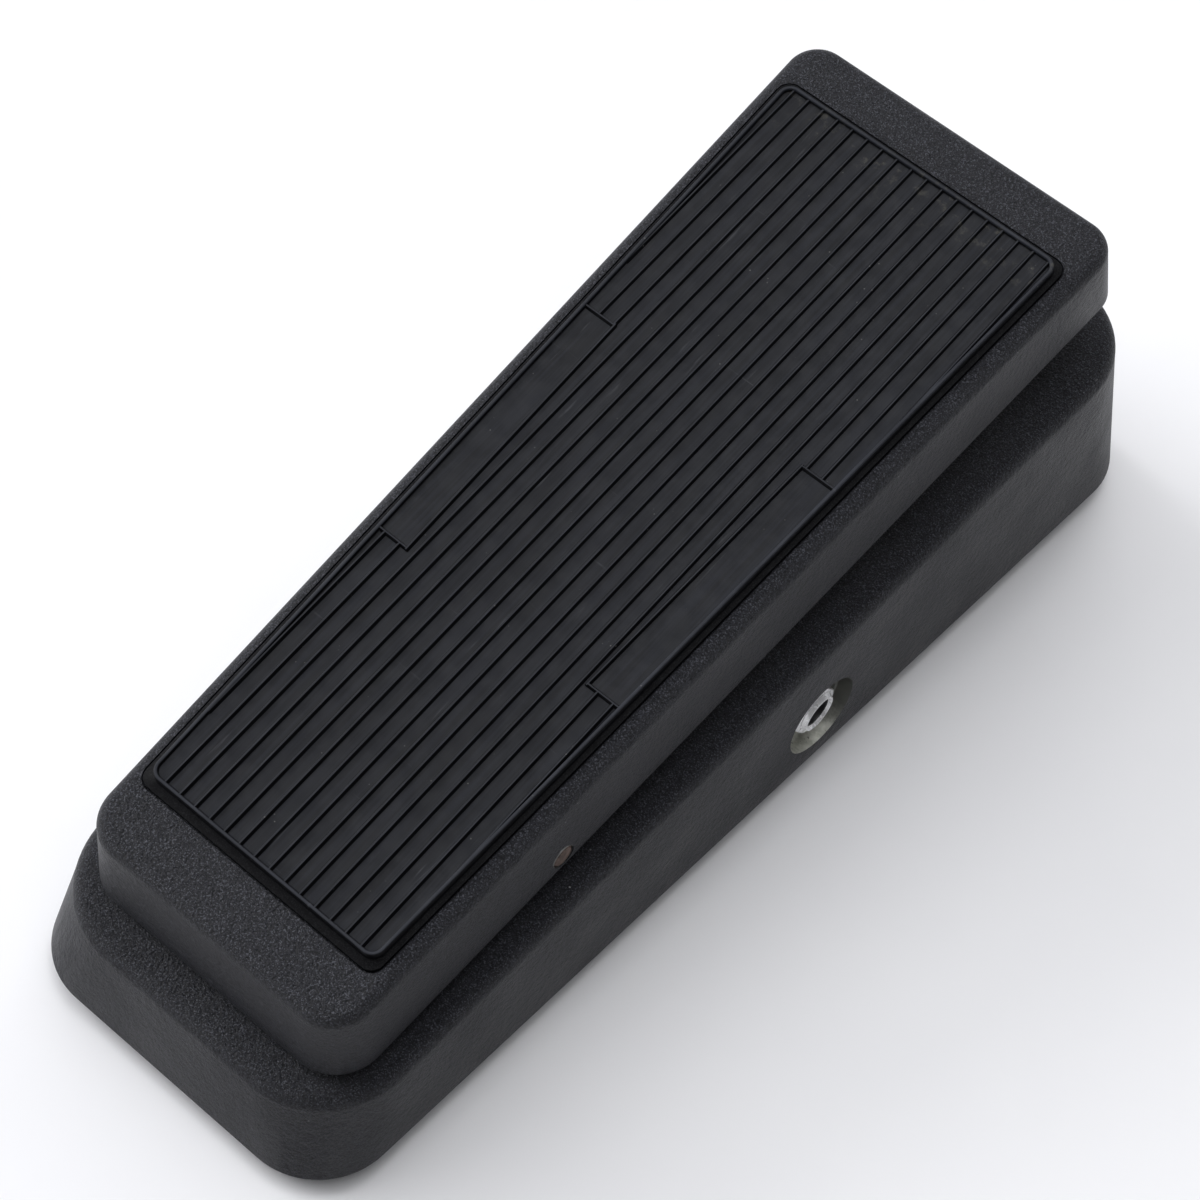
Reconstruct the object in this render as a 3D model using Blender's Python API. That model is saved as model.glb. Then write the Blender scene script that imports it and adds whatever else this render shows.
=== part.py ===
"""Rocker (wah) effects pedal: a die-cast wedge base, a rocking treadle on a cross
shaft, a rack and pinion that turns a potentiometer, a toe switch, two jacks and a
battery circuit inside.

Metres, +Z up, +X to the player's right, +Y from heel to toe. The origin is on the
floor, under the centre of the base.
"""
import math

import bmesh
import bpy
from mathutils import Matrix, Vector

# ---- driving dimensions: base casting ------------------------------------------------
FOOT_HEIGHT = 0.0050          # floor to the base casting's lower edge
LENGTH = 0.2540
BASE_HALF_HEEL = 0.0412       # half widths of the lower edge at heel and toe
BASE_HALF_TOE = 0.0508
BASE_CORNER = 0.0172          # plan radius of the lower edge's corners
RIM_INSET_SIDE = 0.0019       # how far the drafted walls lean in
RIM_INSET_HEEL = 0.0042
RIM_INSET_TOE = 0.0097
RIM_HEEL_RISE = 0.0171        # wall height at the heel and at the toe
RIM_TOE_RISE = 0.0468
RIM_CORNER_HEEL = 0.0205
RIM_CORNER_TOE = 0.0187
RIM_ROUND = 0.0030            # radius between wall and sloping top
WALL = 0.0028
TOP_THICKNESS = 0.0030

# ---- driving dimensions: treadle, in its own pitched frame at the pivot axis ---------
PIVOT_Y = -0.0554
PIVOT_Z = 0.0426
TREADLE_PITCH = math.radians(9.91)
ARRIS_RISE = 0.01315          # pivot axis up to where the skirt turns into the arris
SKIRT_LOW = -0.00355          # pivot axis to the skirt's lower edge
TREADLE_SHIFT = 0.0005        # the casting sits a little right of the hinge's middle
HEEL_REACH = 0.0573           # pivot axis to the arris at heel and toe
TOE_REACH = 0.1665
TREADLE_HALF_HEEL = 0.0332
TREADLE_HALF_TOE = 0.0403
TREADLE_CORNER_HEEL = 0.0090
TREADLE_CORNER_TOE = 0.0072
HEEL_FLARE = 0.0036           # how far the skirt leans out on the way down
TOE_FLARE = 0.0016
SKIRT_HALF_HEEL = 0.0345
SKIRT_HALF_TOE = 0.0408
SKIRT_CORNER_HEEL = 0.0105
SKIRT_CORNER_TOE = 0.0070
ARRIS_ROUND = 0.0028
TREADLE_WALL = 0.0027

# ---- rubber mat ----------------------------------------------------------------------
MAT_SHIFT = 0.0001
MAT_HEEL_REACH = 0.0415       # pivot axis to the outer ridge at heel and toe
MAT_TOE_REACH = 0.1528
MAT_HALF_HEEL = 0.0289
MAT_HALF_TOE = 0.0349
MAT_CORNER = 0.0029
MAT_FLANGE = 0.0012           # how far the thin flange reaches out past the ridge
MAT_HEEL_FLANGE = 0.0019
MAT_LEDGE = 0.0003            # flange above the casting's top
MAT_POCKET = 0.0008           # depth of the pocket it sits in
POCKET_MARGIN = 0.0004        # clear of the flange all round
MAT_HEIGHT = 0.0022           # outer ridge above the casting's top
MAT_RIDGE = 0.0011            # width of the outer ridge
RIB_HEIGHT = 0.0009           # ridge and ribs above the mat's flat field
RIB_WIDTH = 0.0008
RIB_PITCH = 0.00384
RIB_COUNT = 18
RIB_SHIFT = 0.0002            # middle of the rib pattern
# blank side panels: heel end, toe end, inner rib's distance from the middle at each
PANELS = {-1: (0.0238, 0.0864, 0.0229, 0.0245), 1: (0.0245, 0.0855, 0.0226, 0.0242)}

# ---- mechanism -----------------------------------------------------------------------
GAP = 0.0003                  # between pieces that touch
PIVOT_SHAFT_RADIUS = 0.0025
CONTROL_SHAFT_RADIUS = 0.0020
EAR_INNER = 0.0220
EAR_OUTER = 0.0290
EAR_RADIUS = 0.0062
BUSH_RADIUS = 0.0040
RACK_Y = 0.0415               # centre of the rack bar
RACK_HALF_X = 0.0025
RACK_HALF_Y = 0.0020
TOOTH_MODULE = 0.0010
PINION_TEETH = 10
PRESSURE_ANGLE = math.radians(25.0)
BACKLASH = 0.00016            # taken off each tooth flank
PINION_Z = FOOT_HEIGHT + 0.0180
PINION_HALF_X = 0.0030
PIN_RISE = 0.0040             # clevis pin above the pivot axis, in the treadle's frame
PIN_RADIUS = 0.0015
CONTROL_RADIUS = 0.0120       # potentiometer can
SWITCH_Y = 0.0880
PLUNGER_RADIUS = 0.0040
PLUNGER_TOP = 0.0100

# ---- jacks, board, battery -----------------------------------------------------------
JACK_Y = 0.0152
JACK_Z = FOOT_HEIGHT + 0.0141
JACK_RECESS_RADIUS = 0.0096
JACK_FACE = 0.0427            # x of the machined recess floor
JACK_MOUTH = 0.0455           # x of the threaded nose's end
JACK_THREAD_RADIUS = 0.0045
JACK_BORE_RADIUS = 0.0034
JACK_NUT_FLATS = 0.0110
JACK_NUT_HEIGHT = 0.0015
JACK_BODY_HALF = 0.0090
JACK_BODY_END = 0.0130        # x of the body's inner end
BOARD_Z = FOOT_HEIGHT + 0.0080
BOARD_THICKNESS = 0.0016
BATTERY_LENGTH = 0.0485
BATTERY_WIDTH = 0.0265
BATTERY_THICKNESS = 0.0175
SCREW_RADIUS = 0.0013

# ---- worked out from the above -------------------------------------------------------
RIM_HEEL_Y = -LENGTH / 2 + RIM_INSET_HEEL
RIM_TOE_Y = LENGTH / 2 - RIM_INSET_TOE
BASE_SLOPE = (RIM_TOE_RISE - RIM_HEEL_RISE) / (RIM_TOE_Y - RIM_HEEL_Y)
BASE_TILT = math.atan(BASE_SLOPE)
MAT_TAPER = (MAT_HALF_TOE - MAT_HALF_HEEL) / (MAT_HEEL_REACH + MAT_TOE_REACH)
TREADLE_TOP = ARRIS_RISE + ARRIS_ROUND
TREADLE_CEILING = TREADLE_TOP - TOP_THICKNESS
PITCH_RADIUS = TOOTH_MODULE * PINION_TEETH / 2
PITCH_LINE_Y = RACK_Y + RACK_HALF_Y + 1.1 * TOOTH_MODULE
PINION_Y = PITCH_LINE_Y + PITCH_RADIUS
PIN_V = (RACK_Y - PIVOT_Y + PIN_RISE * math.sin(TREADLE_PITCH)) / math.cos(TREADLE_PITCH)
PIN_Z = PIVOT_Z + PIN_V * math.sin(TREADLE_PITCH) + PIN_RISE * math.cos(TREADLE_PITCH)
PLATE_TOP = FOOT_HEIGHT + 0.0015
PLATE_MARGIN = 0.0009         # clear of the walls, which lean in above it
SMOOTH_ANGLE = math.radians(40.0)

# ---- colours: base colour, roughness, metallic ---------------------------------------
COLOURS = {
    "black_powder_coat": ((0.020, 0.020, 0.022), 0.55, 0.0),
    "black_rubber": ((0.017, 0.018, 0.020), 0.50, 0.0),
    "zinc_steel": ((0.55, 0.56, 0.53), 0.35, 1.0),
    "bright_nut": ((0.80, 0.80, 0.80), 0.20, 1.0),
    "brown_steel": ((0.20, 0.12, 0.09), 0.60, 1.0),
    "white_nylon": ((0.75, 0.74, 0.70), 0.45, 0.0),
    "black_plastic": ((0.03, 0.03, 0.03), 0.45, 0.0),
    "green_board": ((0.04, 0.20, 0.08), 0.40, 0.0),
    "copper_ferrite": ((0.25, 0.12, 0.06), 0.40, 0.0),
    "blue_film": ((0.05, 0.12, 0.35), 0.35, 0.0),
    "battery_wrap": ((0.12, 0.12, 0.13), 0.35, 0.0),
    "grey_foam": ((0.20, 0.20, 0.20), 0.90, 0.0),
    "red_wire": ((0.45, 0.03, 0.02), 0.45, 0.0),
}


def material(slot):
    """One Principled material for each named finish."""
    found = bpy.data.materials.get(slot)
    if found:
        return found
    colour, roughness, metallic = COLOURS[slot]
    made = bpy.data.materials.new(slot)
    made.use_nodes = True
    shader = made.node_tree.nodes["Principled BSDF"]
    shader.inputs["Base Color"].default_value = (*colour, 1.0)
    shader.inputs["Roughness"].default_value = roughness
    shader.inputs["Metallic"].default_value = metallic
    return made


def add(name, bm, slot, parent=None, place=None):
    """Turn a bmesh into a named object, moved by place and parented to an empty."""
    if place is not None:
        bm.transform(place)
    bmesh.ops.recalc_face_normals(bm, faces=bm.faces)
    mesh = bpy.data.meshes.new(name)
    bm.to_mesh(mesh)
    bm.free()
    mesh.shade_smooth()
    mesh.set_sharp_from_angle(angle=SMOOTH_ANGLE)
    obj = bpy.data.objects.new(name, mesh)
    obj.data.materials.append(material(slot))
    bpy.context.collection.objects.link(obj)
    obj.parent = parent
    return obj


def empty(name, location, rotation=(0.0, 0.0, 0.0)):
    """A joint's frame: the pieces parented to it are built around its axis."""
    made = bpy.data.objects.new(name, None)
    made.location = location
    made.rotation_euler = rotation
    made.empty_display_size = 0.02
    bpy.context.collection.objects.link(made)
    return made


# ---- solids ----------------------------------------------------------------------------
def loft(rings, closed=False):
    """A skin through rings of equal length, capped at both ends unless it is closed."""
    bm = bmesh.new()
    loops = [[bm.verts.new(point) for point in ring] for ring in rings]
    pairs = list(zip(loops, loops[1:]))
    if closed:
        pairs.append((loops[-1], loops[0]))
    for lower, upper in pairs:
        for i in range(len(lower)):
            j = (i + 1) % len(lower)
            bm.faces.new((lower[i], lower[j], upper[j], upper[i]))
    if not closed:
        bm.faces.new(list(reversed(loops[0])))
        bm.faces.new(loops[-1])
    return bm


def prism(outline, low, high):
    """A straight extrusion of a plan outline between two heights."""
    return loft([[(x, y, z) for x, y in outline] for z in (low, high)])


def block(low, high):
    """A box between two corners."""
    plan = [(low[0], low[1]), (high[0], low[1]), (high[0], high[1]), (low[0], high[1])]
    return prism(plan, low[2], high[2])


def turned(profile, sides=16, bored=False):
    """A solid turned around Z from (radius, height) points: capped flat, or bored right through."""
    rings = []
    for radius, height in profile:
        ring = []
        for i in range(sides):
            angle = 2 * math.pi * (i + 0.5) / sides
            ring.append((radius * math.cos(angle), radius * math.sin(angle), height))
        rings.append(ring)
    return loft(rings, closed=bored)


def rod(radius, low, high, sides=16):
    """A plain round bar along Z."""
    return turned([(radius, low), (radius, high)], sides)


def tube(outer, inner, low, high, sides=16):
    """A plain ring or sleeve along Z."""
    return turned([(outer, low), (outer, high), (inner, high), (inner, low)], sides, bored=True)


def hexagon(across_flats):
    """Corners of a hexagon with a given width across its flats."""
    radius = across_flats / 2 / math.cos(math.pi / 6)
    return [(radius * math.cos(math.pi * i / 3), radius * math.sin(math.pi * i / 3)) for i in range(6)]


def screw(head_radius, head_height, length):
    """A pan-head screw: the head stands on z = 0 and the shank points down."""
    profile = [(SCREW_RADIUS, -length), (SCREW_RADIUS, 0.0), (head_radius, 0.0),
               (head_radius, 0.6 * head_height), (0.7 * head_radius, head_height)]
    return turned(profile, 12)


def along_x(x, y, z, towards=1):
    """Placement that lays a Z-built piece along +X or -X, with its z = 0 at (x, y, z)."""
    return Matrix.Translation((x, y, z)) @ Matrix.Rotation(towards * math.pi / 2, 4, "Y")


def at(x, y, z):
    return Matrix.Translation((x, y, z))


def combine(obj, tool_bm, operation, place=None):
    """Join or cut obj with a tool and keep the result as its own mesh."""
    bpy.context.view_layer.update()
    if place is not None:
        tool_bm.transform(place)
    bmesh.ops.recalc_face_normals(tool_bm, faces=tool_bm.faces)
    tool_mesh = bpy.data.meshes.new("tool")
    tool_bm.to_mesh(tool_mesh)
    tool_bm.free()
    tool = bpy.data.objects.new("tool", tool_mesh)
    bpy.context.collection.objects.link(tool)
    tool.matrix_world = obj.matrix_world.copy()
    bpy.context.view_layer.update()
    modifier = obj.modifiers.new("join_or_cut", "BOOLEAN")
    modifier.operation = operation
    modifier.object = tool
    modifier.solver = "EXACT"
    graph = bpy.context.evaluated_depsgraph_get()
    result = bpy.data.meshes.new_from_object(obj.evaluated_get(graph))
    obj.modifiers.clear()
    obj.data = result
    bpy.data.objects.remove(tool)
    result.shade_smooth()
    result.set_sharp_from_angle(angle=SMOOTH_ANGLE)


# ---- tapered outlines --------------------------------------------------------------------
def inset(shape, distance):
    """Shrink a tapered outline (heel y, toe y, half widths, corner radii) all round."""
    heel, toe, half_heel, half_toe, corner_heel, corner_toe = shape
    taper = (half_toe - half_heel) / (toe - heel)
    side = distance * math.sqrt(1 + taper * taper)
    return (heel + distance, toe - distance, half_heel + taper * distance - side,
            half_toe - taper * distance - side, max(corner_heel - distance, 0.0012),
            max(corner_toe - distance, 0.0012))


def outline(shape, steps=6):
    """Points of a tapered outline with rounded corners, anticlockwise from above."""
    heel, toe, half_heel, half_toe, corner_heel, corner_toe = shape
    corners = [(-half_heel, heel, corner_heel), (half_heel, heel, corner_heel),
               (half_toe, toe, corner_toe), (-half_toe, toe, corner_toe)]
    points = []
    for i, (x, y, radius) in enumerate(corners):
        here = Vector((x, y))
        before = (Vector(corners[i - 1][:2]) - here).normalized()
        after = (Vector(corners[(i + 1) % 4][:2]) - here).normalized()
        half_angle = before.angle(after) / 2
        centre = here + (before + after).normalized() * radius / math.sin(half_angle)
        start = here + before * radius / math.tan(half_angle) - centre
        turn = math.pi - 2 * half_angle
        for k in range(steps + 1):
            angle = turn * k / steps
            cos, sin = math.cos(angle), math.sin(angle)
            points.append((centre.x + start.x * cos - start.y * sin,
                           centre.y + start.x * sin + start.y * cos))
    return points


def base_lower_edge():
    return (-LENGTH / 2, LENGTH / 2, BASE_HALF_HEEL, BASE_HALF_TOE, BASE_CORNER, BASE_CORNER)


def base_rim():
    return (RIM_HEEL_Y, RIM_TOE_Y, BASE_HALF_HEEL - RIM_INSET_SIDE, BASE_HALF_TOE - RIM_INSET_SIDE,
            RIM_CORNER_HEEL, RIM_CORNER_TOE)


def rim_z(y):
    """Height where the wall turns into the rounded rim."""
    return FOOT_HEIGHT + RIM_HEEL_RISE + BASE_SLOPE * (y - RIM_HEEL_Y)


def top_z(y):
    """Height of the base's flat sloping top."""
    return rim_z(y) + RIM_ROUND


def ceiling_z(y):
    """Height of the flat underside of the base's top."""
    return top_z(y) - TOP_THICKNESS / math.cos(BASE_TILT)


def treadle_top_edge():
    return (-HEEL_REACH, TOE_REACH, TREADLE_HALF_HEEL, TREADLE_HALF_TOE,
            TREADLE_CORNER_HEEL, TREADLE_CORNER_TOE)


def treadle_lower_edge():
    return (-HEEL_REACH - HEEL_FLARE, TOE_REACH + TOE_FLARE, SKIRT_HALF_HEEL, SKIRT_HALF_TOE,
            SKIRT_CORNER_HEEL, SKIRT_CORNER_TOE)


def mat_edge():
    """Outer face of the mat's ridge."""
    return (-MAT_HEEL_REACH, MAT_TOE_REACH, MAT_HALF_HEEL, MAT_HALF_TOE, MAT_CORNER, MAT_CORNER)


def mat_flange(margin=0.0):
    """Edge of the thin flange around the ridge, or of a pocket that clears it."""
    side = MAT_FLANGE + margin
    corner = MAT_CORNER + margin
    return (-MAT_HEEL_REACH - MAT_HEEL_FLANGE - margin, MAT_TOE_REACH + side, MAT_HALF_HEEL + side,
            MAT_HALF_TOE + side, corner, corner)


# ---- base ----------------------------------------------------------------------------------
FOOT_PLACES = {"heel_left": (-0.0325, -0.1050), "heel_right": (0.0325, -0.1050),
               "toe_left": (-0.0400, 0.1050), "toe_right": (0.0400, 0.1050)}
BOARD_SCREWS = {"heel_left": (-0.0260, -0.0460), "heel_right": (0.0260, -0.0460),
                "toe_left": (-0.0260, -0.0040), "toe_right": (0.0260, -0.0040)}
BRACKET_SCREWS = {"heel": (-0.0170, 0.0420), "toe": (-0.0170, 0.0540)}
BRACKET_TOP = FOOT_HEIGHT + 0.0330


def rounded_rim_rings(shape, height):
    """Rings that turn a wall over onto a flat top through a quarter round."""
    rings = []
    for degrees in (0.0, 30.0, 60.0, 90.0):
        angle = math.radians(degrees)
        ring = outline(inset(shape, RIM_ROUND * (1 - math.cos(angle))))
        rings.append([(x, y, height(y) + RIM_ROUND * math.sin(angle)) for x, y in ring])
    return rings


def base_shell():
    """The hollow wedge: outer wall, rounded rim, sloping top, then the inside."""
    lower = [(x, y, FOOT_HEIGHT) for x, y in outline(base_lower_edge())]
    inside_low = [(x, y, FOOT_HEIGHT) for x, y in outline(inset(base_lower_edge(), WALL))]
    inside_top = [(x, y, ceiling_z(y)) for x, y in outline(inset(base_rim(), WALL))]
    outside = [lower] + rounded_rim_rings(base_rim(), rim_z)
    return add("base_housing", loft([inside_top, inside_low] + outside), "black_powder_coat")


def pivot_ear(side):
    """A lug with a round head that stands on the top and carries a bush."""
    steps = 10
    foot = top_z(PIVOT_Y) - 0.0015
    spread = 1.25 * EAR_RADIUS
    plan = [(-spread, foot - PIVOT_Z)]
    for k in range(steps + 1):
        angle = math.pi * k / steps
        plan.append((-EAR_RADIUS * math.cos(angle), EAR_RADIUS * math.sin(angle)))
    plan.append((spread, foot - PIVOT_Z))
    rings = []
    for x in (side * EAR_INNER, side * EAR_OUTER):
        rings.append([(x, PIVOT_Y + y, PIVOT_Z + z) for y, z in plan])
    return loft(rings)


def base_housing():
    base = base_shell()
    for x, y in FOOT_PLACES.values():
        combine(base, rod(0.0045, PLATE_TOP + GAP, ceiling_z(y) + 0.001, 16), "UNION", at(x, y, 0))
        combine(base, rod(SCREW_RADIUS + GAP, 0.0, PLATE_TOP + 0.0095, 12), "DIFFERENCE", at(x, y, 0))
    for x, y in BOARD_SCREWS.values():
        boss_low = BOARD_Z + BOARD_THICKNESS + GAP
        combine(base, rod(0.0032, boss_low, ceiling_z(y) + 0.001, 12), "UNION", at(x, y, 0))
        combine(base, rod(SCREW_RADIUS + GAP, 0.0, boss_low + 0.0055, 12), "DIFFERENCE", at(x, y, 0))
    for x, y in BRACKET_SCREWS.values():
        combine(base, rod(0.0032, BRACKET_TOP + GAP, ceiling_z(y) + 0.0015, 12), "UNION", at(x, y, 0))
    for side in (-1, 1):
        combine(base, pivot_ear(side), "UNION")
        combine(base, rod(BUSH_RADIUS + GAP, EAR_INNER - 0.001, EAR_OUTER + 0.001), "DIFFERENCE",
                along_x(0, PIVOT_Y, PIVOT_Z, side))
        combine(base, rod(JACK_RECESS_RADIUS + 0.0002, JACK_FACE - WALL, JACK_FACE + 0.0006, 24),
                "UNION", along_x(0, JACK_Y, JACK_Z, side))
        combine(base, rod(JACK_RECESS_RADIUS, JACK_FACE, JACK_FACE + 0.006, 24), "DIFFERENCE",
                along_x(0, JACK_Y, JACK_Z, side))
        combine(base, rod(JACK_THREAD_RADIUS + GAP, JACK_FACE - 0.004, JACK_FACE + 0.002),
                "DIFFERENCE", along_x(0, JACK_Y, JACK_Z, side))
    slot_low = (-RACK_HALF_X - 0.001, RACK_Y - RACK_HALF_Y - 0.001, ceiling_z(RACK_Y) - 0.003)
    slot_high = (RACK_HALF_X + 0.001, PITCH_LINE_Y + 0.002, top_z(RACK_Y) + 0.003)
    combine(base, block(slot_low, slot_high), "DIFFERENCE")
    combine(base, rod(0.0063, -0.006, 0.004), "DIFFERENCE", switch_frame())
    return base


def bottom_plate():
    plan = outline(inset(base_lower_edge(), WALL + PLATE_MARGIN))
    plate = add("bottom_plate", prism(plan, FOOT_HEIGHT, PLATE_TOP), "zinc_steel")
    for x, y in FOOT_PLACES.values():
        combine(plate, rod(SCREW_RADIUS + GAP, 0.0, 0.02, 12), "DIFFERENCE", at(x, y, 0))
    return plate


def feet():
    """Four rubber feet, each held by a screw whose head sits up inside it."""
    under = FOOT_HEIGHT - GAP
    seat = 0.0022
    for corner, (x, y) in FOOT_PLACES.items():
        bore = SCREW_RADIUS + GAP
        profile = [(0.0072, 0.0), (0.0080, 0.0010), (0.0085, under), (bore, under), (bore, seat),
                   (0.0034, seat), (0.0034, 0.0)]
        add("foot_" + corner, turned(profile, bored=True), "black_rubber", place=at(x, y, 0))
        flip = Matrix.Rotation(math.pi, 4, "X")
        add("foot_screw_" + corner, screw(0.0028, 0.0014, 0.0095), "zinc_steel",
            place=at(x, y, seat - GAP) @ flip)


# ---- treadle -------------------------------------------------------------------------------
def treadle_shell(frame):
    """The inverted tray: inside first, then the skirt's foot, the outside and the top."""
    levels = [(inset(treadle_top_edge(), TREADLE_WALL), TREADLE_CEILING),
              (inset(treadle_lower_edge(), TREADLE_WALL), SKIRT_LOW), (treadle_lower_edge(), SKIRT_LOW)]
    for degrees in (0.0, 30.0, 60.0, 90.0):
        angle = math.radians(degrees)
        edge = inset(treadle_top_edge(), ARRIS_ROUND * (1 - math.cos(angle)))
        levels.append((edge, ARRIS_RISE + ARRIS_ROUND * math.sin(angle)))
    rings = [[(x + TREADLE_SHIFT, v, height) for x, v in outline(edge)] for edge, height in levels]
    return add("treadle", loft(rings), "black_powder_coat", frame)


TOE_BOSS_V = (SWITCH_Y - PIVOT_Y) / math.cos(TREADLE_PITCH) + 0.0015
HEEL_POST_V = -0.0400
TOE_BOSS_LOW = TREADLE_CEILING - 0.0030
HEEL_POST_LOW = TREADLE_CEILING - 0.0105
STIFFENERS = (0.0250, 0.0620, 0.1230)
STIFFENER_HALF_X = 0.0305
STIFFENER_HALF_V = 0.0010
STIFFENER_DEPTH = 0.0030


def treadle(frame):
    body = treadle_shell(frame)
    above = TREADLE_CEILING + 0.001
    for side in (-1, 1):
        combine(body, rod(0.0040, 0.0317, 0.0345, 16), "UNION", along_x(0, 0, 0.0005, side))
    for v, radius, low in ((TOE_BOSS_V, 0.0080, TOE_BOSS_LOW), (HEEL_POST_V, 0.0060, HEEL_POST_LOW)):
        combine(body, rod(radius, low, above, 16), "UNION", at(0, v, 0))
    for v in STIFFENERS:
        low = (-STIFFENER_HALF_X, v - STIFFENER_HALF_V, TREADLE_CEILING - STIFFENER_DEPTH)
        combine(body, block(low, (STIFFENER_HALF_X, v + STIFFENER_HALF_V, above)), "UNION")
    combine(body, rod(PIVOT_SHAFT_RADIUS + GAP, -0.05, 0.05, 16), "DIFFERENCE", along_x(0, 0, 0))
    pocket = prism(outline(mat_flange(POCKET_MARGIN)), TREADLE_TOP - MAT_POCKET, TREADLE_TOP + 0.004)
    combine(body, pocket, "DIFFERENCE", at(MAT_SHIFT, 0, 0))
    return body


def mat_half_width(v):
    return MAT_HALF_HEEL + MAT_TAPER * (v + MAT_HEEL_REACH)


def rib_spans(x):
    """Stretches of one rib. Its ends run into the outer ridge or a side panel's frame."""
    half = RIB_WIDTH / 2
    sunk = MAT_RIDGE / 2
    toe = MAT_TOE_REACH - sunk
    widest = (abs(x - MAT_SHIFT) + half + GAP - MAT_HALF_HEEL) / MAT_TAPER
    start = max(sunk, widest) - MAT_HEEL_REACH
    panel_heel, panel_toe, inner, _ = PANELS[1 if x > 0 else -1]
    if abs(x) + half < inner:
        return [(start, toe)]
    spans = [(start, panel_heel), (max(panel_toe, start), toe)]
    return [span for span in spans if span[1] - span[0] > MAT_RIDGE]


def panel_bars(side):
    """Frame of one blank panel: a rib along its inner side and a bar at each end."""
    half = RIB_WIDTH / 2
    heel, toe, near_heel, near_toe = PANELS[side]
    low, high = heel - half, toe + half
    bars = [[(side * (near_heel - half), low), (side * (near_heel + half), low),
             (side * (near_toe + half), high), (side * (near_toe - half), high)]]
    for v, start in ((heel, near_heel), (toe, near_toe)):
        near, far = side * start, side * (mat_half_width(v) - MAT_RIDGE / 2)
        bars.append([(near, v - half), (far, v - half), (far, v + half), (near, v + half)])
    return bars if side > 0 else [list(reversed(bar)) for bar in bars]


def treadle_mat(frame):
    """Rubber mat: a thin flange, an outer ridge, a ribbed field with two blank side panels."""
    low, high = TREADLE_TOP - MAT_POCKET + GAP, TREADLE_TOP + MAT_HEIGHT
    field, rib_top = high - RIB_HEIGHT, high - 0.0001
    middle = at(MAT_SHIFT, 0, 0)
    flange = prism(outline(mat_flange(), 4), low, TREADLE_TOP + MAT_LEDGE)
    mat = add("treadle_mat", flange, "black_rubber", frame, middle)
    combine(mat, prism(outline(mat_edge(), 4), low + GAP, high), "UNION", middle)
    recess = prism(outline(inset(mat_edge(), MAT_RIDGE), 3), field, high + 0.001)
    combine(mat, recess, "DIFFERENCE", middle)
    for index in range(RIB_COUNT):
        x = (index - (RIB_COUNT - 1) / 2) * RIB_PITCH + RIB_SHIFT
        for start, end in rib_spans(x):
            rib = block((x - RIB_WIDTH / 2, start, field - GAP), (x + RIB_WIDTH / 2, end, rib_top))
            combine(mat, rib, "UNION")
    for side in (-1, 1):
        for bar in panel_bars(side):
            combine(mat, prism(bar, field - GAP, rib_top + 0.00005), "UNION")
    return mat


def treadle_bumper(frame):
    """Rubber pad under the toe that comes down on the switch."""
    low = TOE_BOSS_LOW - GAP
    profile = [(0.0060, low - 0.0042), (0.0068, low - 0.0032), (0.0068, low)]
    add("toe_bumper", turned(profile), "black_rubber", frame, at(0, TOE_BOSS_V, 0))


def heel_bumper():
    """Rubber stud on the base that the treadle's heel post comes down on."""
    y = PIVOT_Y + HEEL_POST_V * math.cos(TREADLE_PITCH) - 0.001
    profile = [(0.0060, GAP), (0.0060, 0.0050), (0.0048, 0.0074)]
    place = at(0, y, top_z(y)) @ Matrix.Rotation(BASE_TILT, 4, "X")
    add("heel_bumper", turned(profile), "black_rubber", place=place)


# ---- pivot ---------------------------------------------------------------------------------
def pivot(frame):
    """The cross shaft turns with the treadle in two flanged bushes, one in each ear."""
    left, right = TREADLE_SHIFT - 0.0362, TREADLE_SHIFT + 0.0362
    radius = PIVOT_SHAFT_RADIUS
    bar = turned([(radius - 0.0003, left), (radius, left + 0.0004),
                  (radius, right - 0.0004), (radius - 0.0003, right)], 16)
    add("pivot_shaft", bar, "brown_steel", frame, along_x(0, 0, 0))
    for side, word in ((-1, "left"), (1, "right")):
        bore = PIVOT_SHAFT_RADIUS + GAP
        flange = EAR_OUTER + GAP
        profile = [(BUSH_RADIUS, EAR_INNER), (BUSH_RADIUS, flange), (0.0055, flange),
                   (0.0055, flange + 0.001), (bore, flange + 0.001), (bore, EAR_INNER)]
        add("pivot_bush_" + word, turned(profile, bored=True), "white_nylon",
            place=along_x(0, PIVOT_Y, PIVOT_Z, side))
        start = flange + 0.001 + GAP
        add("pivot_washer_" + word, tube(0.0050, bore, start, start + 0.0008), "zinc_steel", frame,
            along_x(0, 0, 0, side))


# ---- rack and pinion -----------------------------------------------------------------------
def rack_outline():
    """Side view (y, z) of the rack: a bar with teeth on its toe side, a slotted head on top."""
    pitch = math.pi * TOOTH_MODULE
    back, front = RACK_Y - RACK_HALF_Y, RACK_Y + RACK_HALF_Y
    low, head_low, head_high = FOOT_HEIGHT + 0.0098, PIN_Z - 0.0042, PIN_Z + 0.0036
    tip = PITCH_LINE_Y + 0.8 * TOOTH_MODULE
    lean = math.tan(PRESSURE_ANGLE)
    half = pitch / 4 - BACKLASH
    root_half = half + (PITCH_LINE_Y - front) * lean
    tip_half = half - (tip - PITCH_LINE_Y) * lean
    teeth = []
    for k in range(-2, 5):
        z = PINION_Z + k * pitch
        teeth += [(front, z - root_half), (tip, z - tip_half)]
        teeth += [(tip, z + tip_half), (front, z + root_half)]
    head_back, head_front = RACK_Y - 0.0042, RACK_Y + 0.0052
    head = [(front, head_low), (head_front, head_low + 0.002), (head_front, head_high - 0.001),
            (head_front - 0.001, head_high), (head_back + 0.001, head_high),
            (head_back, head_high - 0.001), (head_back, head_low + 0.002), (back, head_low)]
    return [(back, low), (front, low)] + teeth + head


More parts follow.
